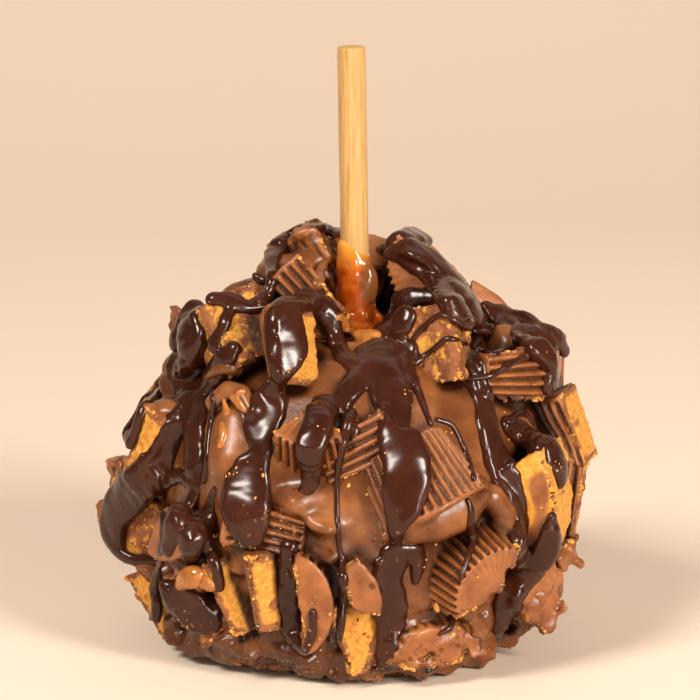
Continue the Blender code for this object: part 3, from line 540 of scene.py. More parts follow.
def coat_wave(grid):
    """How far the coat swells at every point of the grid."""
    wide = Grid(grid.low - 3, grid.low + np.array(grid.shape) * grid.step + 3, 3.0)
    rough = np.zeros(wide.shape, np.float32)
    for i, x in enumerate(wide.x.ravel()):
        for j, y in enumerate(wide.y.ravel()):
            for k, z in enumerate(wide.z.ravel()):
                rough[i, j, k] = noise.noise(Vector((x, y, z)) / COAT_WAVE_LENGTH)
    low = [(axis - start) / 3.0 for axis, start in zip((grid.x, grid.y, grid.z), wide.low)]
    for dim, place in enumerate(low):
        place = place.ravel()
        first = place.astype(int)
        part = (place - first).reshape([-1 if d == dim else 1 for d in range(3)]).astype(np.float32)
        rough = np.take(rough, first, dim) * (1 - part) + np.take(rough, first + 1, dim) * part
    return COAT_WAVE * np.clip(grid.z / COAT_CALM, 0, 1) * rough


def apple_field(grid):
    radius = np.sqrt(grid.x ** 2 + grid.y ** 2)
    return profile_distance(profile_table(COAT_PROFILE), radius, grid.z) - coat_wave(grid)


def piece_place(piece):
    """Where a piece's own axes go, in millimetres."""
    right, up, out = (Vector(axis) for axis in FACINGS[piece.face])
    own = Matrix((right, up, out))
    axes = globe_axes(piece.look_lon, piece.look_lat) @ Matrix.Rotation(math.radians(piece.spin), 3, "Z") @ own
    return Matrix.Translation(globe(piece.lon, piece.lat, piece.out)) @ axes.to_4x4()


def own_axes(piece, x, y, z):
    """Points seen from the piece: from the cup's axis along its middle, across it, and up from its base."""
    back = piece_place(piece).inverted()
    cup = piece.cup
    rows = [back[i][0] * x + back[i][1] * y + back[i][2] * z + back[i][3] for i in range(3)]
    return rows[0] + (piece.inner + cup.rim) / 2, rows[1], rows[2] + cup.height / 2


def piece_reach(piece):
    """The corners of the box round a piece, in millimetres."""
    cup = piece.cup
    half = Vector(((cup.rim - piece.inner) / 2, cup.rim * math.sin(math.radians(piece.sector)), cup.height / 2))
    place = piece_place(piece)
    reach = [sum(abs(place[i][j]) * half[j] for j in range(3)) + 1.6 for i in range(3)]
    middle = place.translation
    return [middle[i] - reach[i] for i in range(3)], [middle[i] + reach[i] for i in range(3)]


def cup_field(piece, u, v, w, rib=0.0):
    """Distances to the whole cup and to the cuts, which a piece lies inside of."""
    cup = piece.cup
    radius = cup.base + (cup.rim - cup.base) * w / cup.height
    slope = math.cos(math.atan((cup.rim - cup.base) / cup.height))
    side = (np.sqrt(u * u + v * v) - radius) * slope
    whole = smooth_max(side + rib, np.abs(w - cup.height / 2) - cup.height / 2, 0.9)
    inner = piece.inner
    reach = math.radians(piece.sector)
    width = max(1.0, inner * math.tan(reach))
    run = Vector((cup.rim * math.cos(reach) - inner, cup.rim * math.sin(reach) - width)).normalized()
    cheek = (np.abs(v) - width) * run.x - (u - inner) * run.y
    core = inner * radius / cup.rim - u
    return whole, smooth_max(cheek, core, 0.8)


def flutes(piece, u, v, w):
    """How deep the flutes of the side go in, from 0 on a ridge, fading out under the lip."""
    count = round(2 * math.pi * piece.cup.rim / FLUTE_PITCH)
    turn = np.arctan2(v, u)
    groove = 1.0 - np.abs(np.cos(turn * count / 2)) ** 1.3
    fade = np.clip((piece.cup.height - 0.9 - w) / 0.6, 0, 1) * np.clip((w + 0.2) / 0.8, 0, 1)
    return groove * fade


# ------------------------------------------------------------------------------------------------- pieces

EDGES = []  # places along the broken edges of every piece made, where crumbs gather


def cup_mesh(piece, step, apple_grid, apple, surface):
    """A piece of a cup with its flutes, its lip and its crumbling cuts."""
    seed = sum(ord(letter) * (i + 3) for i, letter in enumerate(piece.name))
    low, high = piece_reach(piece)
    grid = Grid(low, high, step)
    x, y, z = grid.x, grid.y, grid.z
    u, v, w = own_axes(piece, x, y, z)
    rough_whole, rough_cut = cup_field(piece, u, v, w)
    near = np.abs(smooth_max(rough_whole, rough_cut, 0.8)) < 2.2 + 2 * step
    spots = np.nonzero(near)
    x, y, z = x.ravel()[spots[0]], y.ravel()[spots[1]], z.ravel()[spots[2]]
    u, v, w = own_axes(piece, x, y, z)
    groove = flutes(piece, u, v, w)
    bend = 0.35 * Waves(seed, 14.0)(x, y, z)
    whole, cut = cup_field(piece, u, v, w, groove * FLUTE_DEPTH)
    whole = whole + bend + 0.06 * Waves(seed + 1, 3.0)(x, y, z)
    lump = Waves(seed + 2, 5.5)(x, y, z)
    grain = Waves(seed + 3, 1.9)(x, y, z)
    crag = crags(x, y, z, seed + 4, 2.1)
    rough = 0.35 if piece.name in SMOOTH_CUTS else 1.0
    cut = cut + rough * (0.45 * lump + 0.75 * (0.55 - crag)) + 0.12 * grain
    field = smooth_max(whole, cut, 0.5)
    chip = 1.1 * (crags(x, y, z, seed + 5, 5.5) - 0.62)
    edge = np.maximum(0.0, 1.4 - np.abs(whole) - np.abs(cut)) / 1.4
    field = field + np.maximum(0.0, chip) * 1.5 * edge
    if piece.name in DIPPED:
        field = smooth_max(*cup_field(piece, u, v, w), 3.6) - 0.3
        field = field + 0.7 * lump + 0.9 * (0.5 - crags(x, y, z, seed + 8, 4.0)) + 0.7 * (0.5 - crag)
    full = np.where(smooth_max(rough_whole, rough_cut, 0.8) < 0, -3.0, 3.0).astype(np.float32)
    full[spots] = field
    deep = sample(apple_grid, apple, np.stack([x, y, z], 1))
    full[spots] = np.maximum(full[spots], -(deep + 1.6))
    inside = full < 0
    points = np.stack(np.broadcast_arrays(grid.x, grid.y, grid.z), -1)[inside]
    buried = sample(apple_grid, apple, points) < -1.6
    flat = full[inside]
    flat[buried] = 1.0
    full[inside] = flat
    full = np.where(grid.z < 0.25, np.maximum(full, 0.25 - grid.z), full)
    mesh, places = skin(piece.name + "_look", grid, full)
    px, py, pz = places.T.astype(np.float32)
    u, v, w = own_axes(piece, px, py, pz)
    whole, cut = cup_field(piece, u, v, w)
    shade = Waves(seed + 6, 9.0)(px, py, pz) + 0.3 * Waves(seed + 9, 2.5)(px, py, pz)
    depth = -whole + 0.25 * Waves(seed + 7, 2.4)(px, py, pz)
    nut = np.clip((depth - SHELL) / 0.35, 0, 1)
    if piece.name in PEELED:
        nut = np.maximum(nut, np.clip((Waves(seed + 10, 11.0)(px, py, pz) + 0.35) / 0.25, 0, 1))
    smear = 1.6 if piece.name in DIPPED else piece.smear
    smeared = np.clip((shade - (1.1 - 2.2 * smear)) / 0.3, 0, 1)
    add_values(mesh, "nut", nut * (1 - smeared))
    # how far down a flute groove each point lies, on the fluted side only: the mask for the painted shade in the
    # grooves
    add_values(mesh, "groove", np.where(cut < whole, flutes(piece, u, v, w), 0.0))
    add_values(mesh, "broken", np.clip((cut - whole) / 0.6 + 0.5, 0, 1))
    add_values(mesh, "tone", np.full(len(places), (seed % 17) / 17.0))
    # how closed in each point is, which the material darkens as painted shade
    add_values(mesh, "shut", 0.85 * painted_crevice_shade(apple_grid, surface, places))
    EDGES.append(places[(np.abs(cut - whole) < 0.5) & (smeared < 1.5)])
    return mesh


def add_values(mesh, name, values):
    layer = mesh.attributes.new(name, "FLOAT", "POINT")
    layer.data.foreach_set("value", np.asarray(values, np.float32))


# -------------------------------------------------------------------------------------------------- flows

class Ground:
    """The outermost surface over every place on the globe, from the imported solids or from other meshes."""

    def __init__(self, meshes):
        points, faces = [], []
        for mesh in meshes:
            first = len(points)
            points += [vertex.co / MM for vertex in mesh.vertices]
            faces += [[first + i for i in polygon.vertices] for polygon in mesh.polygons]
        self.tree = BVHTree.FromPolygons(points, faces)

    def hit(self, lon, lat):
        start = globe(lon, lat, 90.0)
        return self.tree.ray_cast(start, MIDDLE - start)

    def height(self, lon, lat):
        point = self.hit(lon, lat)[0]
        return (point - MIDDLE).length if point else 40.0


def stops_along(route, step):
    """The route's own numbers at even steps along it, of about this many millimetres or degrees."""
    places = []
    for start, end in zip(route, route[1:]):
        turn = (end[0] - start[0] + 180) % 360 - 180
        steps = max(1, round(math.hypot(turn, end[1] - start[1]) / step))
        for i in range(steps):
            t = i / steps
            places.append((start[0] + t * turn, start[1] + t * (end[1] - start[1]), start[2] + t * (end[2] - start[2])))
    places.append(tuple(route[-1]))
    return places


def tautened(values, rounds, pick):
    """Values pulled straight across hollows, as a thread would be."""
    for _ in range(rounds):
        straight = [(values[i - 1] + values[i + 1]) / 2 for i in range(1, len(values) - 1)]
        values[1:-1] = [pick(v, w) for v, w in zip(values[1:-1], straight)]
    return values


def flow_path(route, ground, step=2.2, sink=0.1, rounds=6):
    """Points and radii along a route over the globe, lying on the ground and straight across its hollows."""
    places = stops_along(route, step)
    heights = tautened([ground.height(lon, lat) for lon, lat, _ in places], rounds, max)
    return eased([(globe(lon, lat, height + sink * width / 2), width / 2)
                  for (lon, lat, width), height in zip(places, heights)])


def front_path(route, ground, step=1.6, sink=0.1, rounds=5):
    """The same along a route over the front, lying on the first surface the eye meets and wider where it slants."""
    places = stops_along(route, step)
    seen = []
    for across, up, width in places:
        spot = AIM + Vector((across - AIM.x, 0, 0)) + (up - AIM.z) * Vector((0, math.sin(RISE), math.cos(RISE)))
        way = (spot - EYE).normalized()
        _, normal, _, depth = ground.tree.ray_cast(EYE, way)
        seen.append((way, depth, abs(normal.dot(way)) if normal else 1.0, width))
    known = [i for i, (_, depth, _, _) in enumerate(seen) if depth is not None]
    seen = seen[known[0] : known[-1] + 1]
    known = [i - known[0] for i in known]
    depths = tautened(list(np.interp(range(len(seen)), known, [seen[i][1] for i in known])), rounds, min)
    slants = [facing for _, _, facing, _ in seen]
    for _ in range(4):
        slants[1:-1] = [(slants[i - 1] + slants[i] + slants[i + 1]) / 3 for i in range(1, len(slants) - 1)]
    return eased([(EYE + way * (depth - sink * width / 2), 0.46 * width / max(0.6, slant) ** 0.5)
                  for (way, _, _, width), depth, slant in zip(seen, depths, slants)])


def eased(path):
    """The path with its corners taken off."""
    for _ in range(2):
        smooth = [((path[i - 1][0] + 2 * path[i][0] + path[i + 1][0]) / 4,
                   (path[i - 1][1] + 2 * path[i][1] + path[i + 1][1]) / 4) for i in range(1, len(path) - 1)]
        path[1:-1] = smooth
    return path


def path_field(grid, paths, thickness):
    """Distances to round tubes along the paths, each as thick as the rule makes of its radius."""
    field = np.full(grid.shape, 8.0, np.float32)
    for path in paths:
        for (a, ra), (b, rb) in zip(path, path[1:]):
            ra, rb = thickness(ra), thickness(rb)
            window, (dx, dy, dz), t = along(grid, a, b, max(ra, rb) + 2.5)
            distance = np.sqrt(dx * dx + dy * dy + dz * dz) - (ra + t * (rb - ra))
            field[window] = np.minimum(field[window], distance)
    return field


def along(grid, a, b, reach):
    """The window round a segment, the offsets from it and how far along it each point is, from 0 to 1."""
    window = grid.window([min(a[i], b[i]) - reach for i in range(3)], [max(a[i], b[i]) + reach for i in range(3)])
    x, y, z = grid.axes(window)
    run = b - a
    t = ((x - a.x) * run.x + (y - a.y) * run.y + (z - a.z) * run.z) / max(1e-6, run.length_squared)
    t = np.clip(t, 0, 1)
    return window, (x - a.x - t * run.x, y - a.y - t * run.y, z - a.z - t * run.z), t


def ribbon_field(grid, paths, surface):
    """Distances to flattened tubes along the paths, lying flat on the surface below them."""
    field = np.full(grid.shape, 8.0, np.float32)
    for path in paths:
        points = np.array([point for point, _ in path])
        lean = np.stack([sample(grid, surface, points + step) - sample(grid, surface, points - step)
                         for step in np.eye(3) * 1.5], 1)
        lean /= np.maximum(np.linalg.norm(lean, axis=1), 1e-3)[:, None]
        lean += (points - np.array(MIDDLE)) / 50.0
        for _ in range(3):
            lean[1:-1] = (lean[:-2] + 2 * lean[1:-1] + lean[2:]) / 4
        for i in range(len(path) - 1):
            (a, ra), (b, rb) = path[i], path[i + 1]
            window, (dx, dy, dz), t = along(grid, a, b, max(ra, rb) + 2.5)
            out = Vector(lean[i] + lean[i + 1]).normalized()
            rise = dx * out.x + dy * out.y + dz * out.z
            radius = ra + t * (rb - ra)
            flat = radius / np.minimum(0.92 * radius, 0.6 + 0.22 * radius)
            side = dx * dx + dy * dy + dz * dz - rise * rise
            reach = np.sqrt(np.maximum(side + (flat * rise) ** 2, 1e-4))
            slope = np.sqrt(np.maximum(side + (flat * flat * rise) ** 2, 1e-4)) / reach
            field[window] = np.minimum(field[window], (reach - radius) / slope)
    return field


def flow_mesh(name, grid, surface, paths, thick=1.25):
    """Chocolate poured along paths: a flattened body that spreads out as a film over what it lies on."""
    body = ribbon_field(grid, paths, surface) + 0.6 * (1.25 - thick)
    film = path_field(grid, paths, lambda radius: radius * 0.97 + 0.05)
    near = film < 4.0
    x, y, z = np.broadcast_arrays(grid.x, grid.y, grid.z)
    x, y, z = x[near], y[near], z[near]
    spread = film[near] + 0.45 * Waves(71, 7.0)(x, y, z) + 0.3 * Waves(74, 3.5)(x, y, z)
    over = surface[near] - thick - 0.3 * thick * Waves(72, 9.0)(x, y, z)
    flat = smooth_max(spread, over, 1.3)
    poured = smooth_min(flat, body[near] + 0.2 * Waves(73, 8.0)(x, y, z), 1.4) + 0.05 * Waves(75, 4.6)(x, y, z)
    field = np.full(grid.shape, 3.0, np.float32)
    field[near] = np.maximum(poured, -(surface[near] + 1.2))
    field = np.where(grid.z < 0.2, np.maximum(field, 0.2 - grid.z), field)
    mesh, _ = skin(name, grid, field, relax=3)
    return mesh


def thread_mesh(name, paths):
    """Thin threads with round ends, as rings round their paths."""
    bm = bmesh.new()
    sides = 12
    for path in paths:
        points = [point for point, _ in path]
        radii = [radius for _, radius in path]
        last = len(points) - 1
        rings = []
        for i, (point, radius) in enumerate(zip(points, radii)):
            way = (points[min(i + 1, last)] - points[max(i - 1, 0)]).normalized()
            out = (point - MIDDLE).normalized()
            side = way.cross(out).normalized()
            out = side.cross(way).normalized()
            sizes = [(0.0, radius)]
            if i == 0:
                sizes = [(-0.9, 0.35), (-0.6, 0.75), (0.0, 1.0)]
                sizes = [(shift * radius, share * radius) for shift, share in sizes]
            if i == last:
                sizes = [(0.0, 1.0), (0.6, 0.75), (0.9, 0.35)]
                sizes = [(shift * radius, share * radius) for shift, share in sizes]
            for shift, size in sizes:
                ring = []
                for k in range(sides):
                    angle = 2 * math.pi * k / sides
                    place = point + way * shift + side * (size * math.cos(angle)) + out * (0.8 * size * math.sin(angle))
                    ring.append(bm.verts.new(place * MM))
                rings.append(ring)
        for a, b in zip(rings, rings[1:]):
            for k in range(sides):
                j = (k + 1) % sides
                bm.faces.new((a[k], a[j], b[j], b[k]))
        bm.faces.new(rings[0])
        bm.faces.new(rings[-1])
    bmesh.ops.recalc_face_normals(bm, faces=bm.faces)
    mesh = bpy.data.meshes.new(name)
    bm.to_mesh(mesh)
    bm.free()
    mesh.shade_smooth()
    return mesh


def strewn(ground, seed, count, size, places):
    """Spots, normals and sizes for bits strewn over the surface round named places."""
    rng = np.random.default_rng(seed)
    share = np.array([weight for *_, weight in places], float)
    spots = []
    while len(spots) < count:
        lon, lat, spread, _ = places[rng.choice(len(places), p=share / share.sum())]
        turn, reach = rng.uniform(0, 2 * np.pi), spread * abs(rng.normal(0, 0.6))
        east = lon + reach * np.cos(turn) / max(0.3, math.cos(math.radians(lat)))
        north = min(85.0, max(-42.0, lat + reach * np.sin(turn)))
        spot, normal, _, _ = ground.hit(east, north)
        if spot is not None and spot.z > 0.8 and normal.z > -0.75:
            spots.append((spot, normal, size * math.exp(rng.normal(0, 0.5))))
    return spots


def along_edges(ground, seed, count, size):
    """The same for bits that cling to the broken edges of pieces, in clusters."""
    rng = np.random.default_rng(seed)
    places = np.concatenate(EDGES)
    cluster = crags(*places.T, seed, 4.0)
    places = places[cluster < 0.42]
    spots = []
    for place in places[rng.permutation(len(places))[: 3 * count]]:
        spot, normal, _, reach = ground.tree.find_nearest(Vector(place))
        if spot is not None and reach < 0.5 and spot.z > 0.8 and normal.z > -0.75 and len(spots) < count:
            spots.append((spot, normal, size * math.exp(rng.normal(0, 0.45))))
    return spots


def crumb_mesh(name, seed, spots):
    """Broken bits, each an uneven little lump sunk a little into what it lies on."""
    rng = np.random.default_rng(seed)
    lump = bmesh.new()
    bmesh.ops.create_icosphere(lump, subdivisions=1, radius=1.0)
    shape = np.array([vertex.co for vertex in lump.verts])
    faces = np.array([[vertex.index for vertex in face.verts] for face in lump.faces])
    lump.free()
    points, triangles = [], []
    for spot, normal, radius in spots:
        swell = Waves(int(rng.integers(1e9)), 1.7, 5)
        body = shape * (1 + 0.35 * swell(*shape.T)[:, None]) * rng.uniform(0.55, 1.2, 3)
        axes = np.array(Matrix.Rotation(rng.uniform(0, 6.28), 3, Vector(rng.normal(size=3))))
        body = body @ axes.T * radius + np.array(spot + normal * (0.25 * radius))
        triangles.append(faces + len(points) * len(shape))
        points.append(body)
    mesh = bpy.data.meshes.new(name)
    mesh.from_pydata((np.concatenate(points) * MM).tolist(), [], np.concatenate(triangles).tolist())
    return mesh


# ---------------------------------------------------------------------------------------------- materials

def shader_of(name):
    made = bpy.data.materials.new(name)
    made.use_nodes = True
    return made, made.node_tree, made.node_tree.nodes["Principled BSDF"]


def node(tree, kind, **settings):
    made = tree.nodes.new(kind)
    for key, value in settings.items():
        if hasattr(made, key):
            setattr(made, key, value)
        else:
            made.inputs[key.replace("_", " ")].default_value = value
    return made


def link(tree, source, socket, target, into):
    out = source.outputs[socket]
    tree.links.new(out, target.inputs[into])


def noise_at(tree, scale, detail=3.0, rough=0.55):
    """A noise texture in the object's own metres."""
    place = node(tree, "ShaderNodeTexCoord")
    made = node(tree, "ShaderNodeTexNoise", Scale=scale, Detail=detail, Roughness=rough)
    link(tree, place, "Object", made, "Vector")
    return made


def ramp(tree, source, socket, stops):
    made = tree.nodes.new("ShaderNodeValToRGB")
    elements = made.color_ramp.elements
    while len(elements) < len(stops):
        elements.new(0.5)
    for element, (place, colour) in zip(elements, stops):
        element.position = place
        element.color = (*colour, 1.0) if len(colour) == 3 else colour
    link(tree, source, socket, made, "Fac")
    return made


def grey(value):
    return (value, value, value)


def mix(tree, factor, a, b, kind="MIX"):
    """A colour between two, each an output socket or a colour."""
    made = tree.nodes.new("ShaderNodeMix")
    made.data_type = "RGBA"
    made.blend_type = kind
    for into, source in ((made.inputs["Factor"], factor), (made.inputs["A"], a), (made.inputs["B"], b)):
        if isinstance(source, bpy.types.NodeSocket):
            tree.links.new(source, into)
        elif isinstance(source, (int, float)):
            into.default_value = source
        else:
            into.default_value = (*source, 1.0)
    for socket in [s for s in made.inputs if s.type == "RGBA"]:
        if socket.identifier == "A_Color" and not isinstance(a, bpy.types.NodeSocket):
            socket.default_value = (*a, 1.0)
        if socket.identifier == "B_Color" and not isinstance(b, bpy.types.NodeSocket):
            socket.default_value = (*b, 1.0)
    for socket in [s for s in made.inputs if s.identifier in ("A_Color", "B_Color")]:
        source = a if socket.identifier == "A_Color" else b
        if isinstance(source, bpy.types.NodeSocket):
            tree.links.new(source, socket)
    return next(s for s in made.outputs if s.identifier == "Result_Color")


def values_of(tree, name):
    made = node(tree, "ShaderNodeAttribute", attribute_name=name)
    return made.outputs["Fac"]


def bump(tree, height, strength, distance, under=None):
    made = node(tree, "ShaderNodeBump", Strength=strength, Distance=distance)
    tree.links.new(height, made.inputs["Height"])
    if under:
        tree.links.new(under.outputs["Normal"], made.inputs["Normal"])
    return made


def milk_material():
    made, tree, shader = shader_of("milk_chocolate_look")
    wide = noise_at(tree, 90.0, 4.0)
    tint = ramp(tree, wide, "Fac", [(0.32, (0.090, 0.026, 0.0070)), (0.5, (0.152, 0.047, 0.0122)),
                                    (0.7, (0.28, 0.098, 0.0265))])
    fine = noise_at(tree, 900.0, 3.0)
    # painted shade: the coat's colour darkened to a near-black brown in its crevices and low down left of the middle
    deep = mix(tree, values_of(tree, "shut"), tint.outputs["Color"], (0.022, 0.0055, 0.0018))
    tree.links.new(deep, shader.inputs["Base Color"])
    gloss = ramp(tree, wide, "Fac", [(0.3, grey(0.22)), (0.7, grey(0.36))])
    tree.links.new(gloss.outputs["Color"], shader.inputs["Roughness"])
    shader.inputs["Specular IOR Level"].default_value = 0.42
    grain = bump(tree, fine.outputs["Fac"], 0.14, 0.0004)
    tree.links.new(grain.outputs["Normal"], shader.inputs["Normal"])
    return made


def cup_material():
    made, tree, shader = shader_of("cup_pieces_look")
    wide = noise_at(tree, 160.0, 4.0)
    fine = noise_at(tree, 1000.0, 5.0, 0.72)
    specks = noise_at(tree, 620.0, 3.0, 0.6)
    shell = ramp(tree, wide, "Fac", [(0.3, (0.165, 0.045, 0.0115)), (0.7, (0.37, 0.128, 0.034))])
    # painted shade: the shell's colour darkened to a near-black brown down in the flute grooves
    painted_groove_shade = mix(tree, values_of(tree, "groove"), shell.outputs["Color"], (0.032, 0.0080, 0.0022))
    nut = ramp(tree, fine, "Fac", [(0.28, (0.42, 0.145, 0.012)), (0.5, (0.68, 0.29, 0.036)), (0.7, (0.80, 0.40, 0.07))])
    golden = ramp(tree, specks, "Fac", [(0.56, grey(0.0)), (0.62, grey(1.0))])
    speckled = mix(tree, golden.outputs["Color"], grey(0.0), values_of(tree, "broken"))
    filled = mix(tree, values_of(tree, "nut"), speckled, grey(1.0))
    colour = mix(tree, filled, painted_groove_shade, nut.outputs["Color"])
    # painted shade: the colour darkened to a near-black brown where the piece lies closed in by the surface round it
    deep = mix(tree, values_of(tree, "shut"), colour, (0.030, 0.0075, 0.0022))
    tree.links.new(deep, shader.inputs["Base Color"])
    gloss = mix(tree, values_of(tree, "broken"), grey(0.33), grey(0.62))
    tree.links.new(gloss, shader.inputs["Roughness"])
    depth = mix(tree, values_of(tree, "broken"), grey(0.15), grey(1.0))
    grain = bump(tree, fine.outputs["Fac"], 1.0, 0.0007)
    tree.links.new(depth, grain.inputs["Strength"])
    tree.links.new(grain.outputs["Normal"], shader.inputs["Normal"])
    return made


def nut_material():
    made, tree, shader = shader_of("nut_filling_look")
    fine = noise_at(tree, 700.0, 4.0, 0.7)
    nut = ramp(tree, fine, "Fac", [(0.3, (0.56, 0.22, 0.028)), (0.7, (0.84, 0.41, 0.075))])
    tree.links.new(nut.outputs["Color"], shader.inputs["Base Color"])
    shader.inputs["Roughness"].default_value = 0.6
    grain = bump(tree, fine.outputs["Fac"], 0.6, 0.0004)
    tree.links.new(grain.outputs["Normal"], shader.inputs["Normal"])
    return made


def dark_material():
    made, tree, shader = shader_of("dark_chocolate_look")
    wide = noise_at(tree, 120.0, 3.0)
    tint = ramp(tree, wide, "Fac", [(0.3, (0.027, 0.0062, 0.0026)), (0.7, (0.046, 0.0112, 0.0044))])
    tree.links.new(tint.outputs["Color"], shader.inputs["Base Color"])
    gloss = ramp(tree, wide, "Fac", [(0.3, grey(0.16)), (0.7, grey(0.24))])
    tree.links.new(gloss.outputs["Color"], shader.inputs["Roughness"])
    shader.inputs["Specular IOR Level"].default_value = 0.36
    return made


def caramel_material():
    made, tree, shader = shader_of("caramel_look")
    wide = noise_at(tree, 260.0, 3.0)
    tint = ramp(tree, wide, "Fac", [(0.32, (0.15, 0.020, 0.0012)), (0.5, (0.33, 0.052, 0.0030)), (0.7, (0.48, 0.115, 0.0085))])
    lit = mix(tree, values_of(tree, "light"), tint.outputs["Color"], (0.68, 0.26, 0.030))
    browned = mix(tree, values_of(tree, "brown"), lit, (0.16, 0.052, 0.013))
    tree.links.new(browned, shader.inputs["Base Color"])
    shader.inputs["Roughness"].default_value = 0.11
    shader.inputs["Subsurface Weight"].default_value = 0.2
    shader.inputs["Subsurface Radius"].default_value = (1.0, 0.3, 0.08)
    shader.inputs["Subsurface Scale"].default_value = 0.002
    return made


def glaze_material():
    made, tree, shader = shader_of("amber_look")
    wide = noise_at(tree, 300.0, 3.0)
    tint = ramp(tree, wide, "Fac", [(0.3, (0.28, 0.088, 0.016)), (0.7, (0.50, 0.19, 0.042))])
    tree.links.new(tint.outputs["Color"], shader.inputs["Base Color"])
    shader.inputs["Roughness"].default_value = 0.16
    shader.inputs["Subsurface Weight"].default_value = 0.2
    shader.inputs["Subsurface Radius"].default_value = (1.0, 0.4, 0.1)
    shader.inputs["Subsurface Scale"].default_value = 0.002
    return made


def wood_material():
    made, tree, shader = shader_of("wood_look")
    place = node(tree, "ShaderNodeTexCoord")
    stretch = node(tree, "ShaderNodeMapping")
    stretch.inputs["Scale"].default_value = (1.0, 1.0, 0.045)
    link(tree, place, "Object", stretch, "Vector")
    grain = node(tree, "ShaderNodeTexNoise", Scale=1500.0, Detail=4.0, Roughness=0.6)
    link(tree, stretch, "Vector", grain, "Vector")
    tint = ramp(tree, grain, "Fac", [(0.25, (0.35, 0.17, 0.044)), (0.5, (0.50, 0.285, 0.093)),
                                     (0.8, (0.60, 0.38, 0.150))])
    tree.links.new(tint.outputs["Color"], shader.inputs["Base Color"])
    shader.inputs["Roughness"].default_value = 0.55
    lines = bump(tree, grain.outputs["Fac"], 0.35, 0.0002)
    tree.links.new(lines.outputs["Normal"], shader.inputs["Normal"])
    return made


# -------------------------------------------------------------------------------------------------- scene

def show(name, mesh, finish, nodes):
    """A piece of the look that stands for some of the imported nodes."""
    made = bpy.data.objects.new(name, mesh)
    bpy.context.scene.collection.objects.link(made)
    mesh.materials.clear()
    mesh.materials.append(finish)
    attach(made, "root")
    if nodes:
        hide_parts(*nodes)
    return made


def stick_mesh():
    """A dowel with a softened top end and a slightly uneven surface."""
    run = STICK_TIP - STICK_FOOT
    turn = run.to_track_quat("Z", "Y").to_matrix()
    rings, turns = [], 72
    length = run.length
    profile = [(length, 0.0), (length, 1.5), (length, 2.7), (length - 0.06, 2.98), (length - 0.22, 3.14),
               (length - 0.45, STICK_RADIUS)]
    down = length - 1.0
    while down > 30.0:
        profile.append((down, STICK_RADIUS))
        down -= 1.2
    profile += [(30.0, STICK_RADIUS), (30.0, 0.0)]
    bm = bmesh.new()
    for along, radius in profile:
        ring = []
        for i in range(turns if radius else 1):
            angle = 2 * math.pi * i / turns
            fibre = noise.noise(Vector((math.cos(angle) * 4, math.sin(angle) * 4, along * 0.06)))
            dent = noise.noise(Vector((math.cos(angle), math.sin(angle), along * 0.12)) + Vector((7, 3, 1)))
            r = radius * (1 + 0.010 * fibre - 0.012 * dent) if radius else 0.0
            up = along + (0.05 * noise.noise(Vector((radius * 3, angle * 3, 0))) if along == length else 0.0)
            ring.append(bm.verts.new((STICK_FOOT + turn @ Vector((r * math.cos(angle), r * math.sin(angle), up))) * MM))
        rings.append(ring)
    for a, b in zip(rings, rings[1:]):
        for i in range(turns):
            j = (i + 1) % turns
            corners = [a[i % len(a)], a[j % len(a)], b[j % len(b)], b[i % len(b)]]
            corners = list(dict.fromkeys(corners))
            if len(corners) > 2:
                bm.faces.new(corners)
    bmesh.ops.recalc_face_normals(bm, faces=bm.faces)
    mesh = bpy.data.meshes.new("stick_look")
    bm.to_mesh(mesh)
    bm.free()
    mesh.shade_smooth()
    return mesh


def caramel_mesh():
    grid = Grid((-22, -22, 66), (22, 22, 97), 0.38)
    run = STICK_TIP - STICK_FOOT
    share = (grid.z - STICK_FOOT.z) / run.z
    x = grid.x - (STICK_FOOT.x + run.x * share)
    y = grid.y - (STICK_FOOT.y + run.y * share)
    radius = np.sqrt(x * x + y * y)
    field = profile_distance(profile_table(CARAMEL_PROFILE), radius, grid.z)
    wave = Waves(31, 9.0)(grid.x, grid.y, grid.z)
    field = field + 1.15 * np.clip((grid.z - 73) / 4, 0, 1) - 0.85 * np.clip((grid.z - 84) / 6, 0, 1) - 0.4 * wave - 0.12 * Waves(32, 4.0)(grid.x, grid.y, grid.z)
    field = smooth_max(field, grid.z - (92.8 - 0.52 * x + 0.5 * wave), 0.8)
    stretched = np.sqrt((x - 2.8) ** 2 + (y + 2.2) ** 2 + ((grid.z - 84.0) * 0.52) ** 2)
    field = smooth_min(field, stretched - 2.5, 0.9)
    gap = np.sqrt((x - 3.6) ** 2 + (y + 3.2) ** 2 + ((grid.z - 76.2) * 0.5) ** 2)
    field = smooth_max(field, 1.7 - gap, 0.5)
    field = smooth_max(field, -(radius - 2.9), 0.4)
    mesh, places = skin("caramel_look", grid, field, relax=2)
    px, py, pz = places.T
    lump = np.sqrt((px - 4.0) ** 2 + (py + 3.0) ** 2 + ((pz - 84.0) * 0.5) ** 2)
    add_values(mesh, "brown", np.clip((3.4 - lump) / 1.2, 0, 1))
    add_values(mesh, "light", np.clip((pz - 87.0) / 6.0, 0, 1))
    return mesh


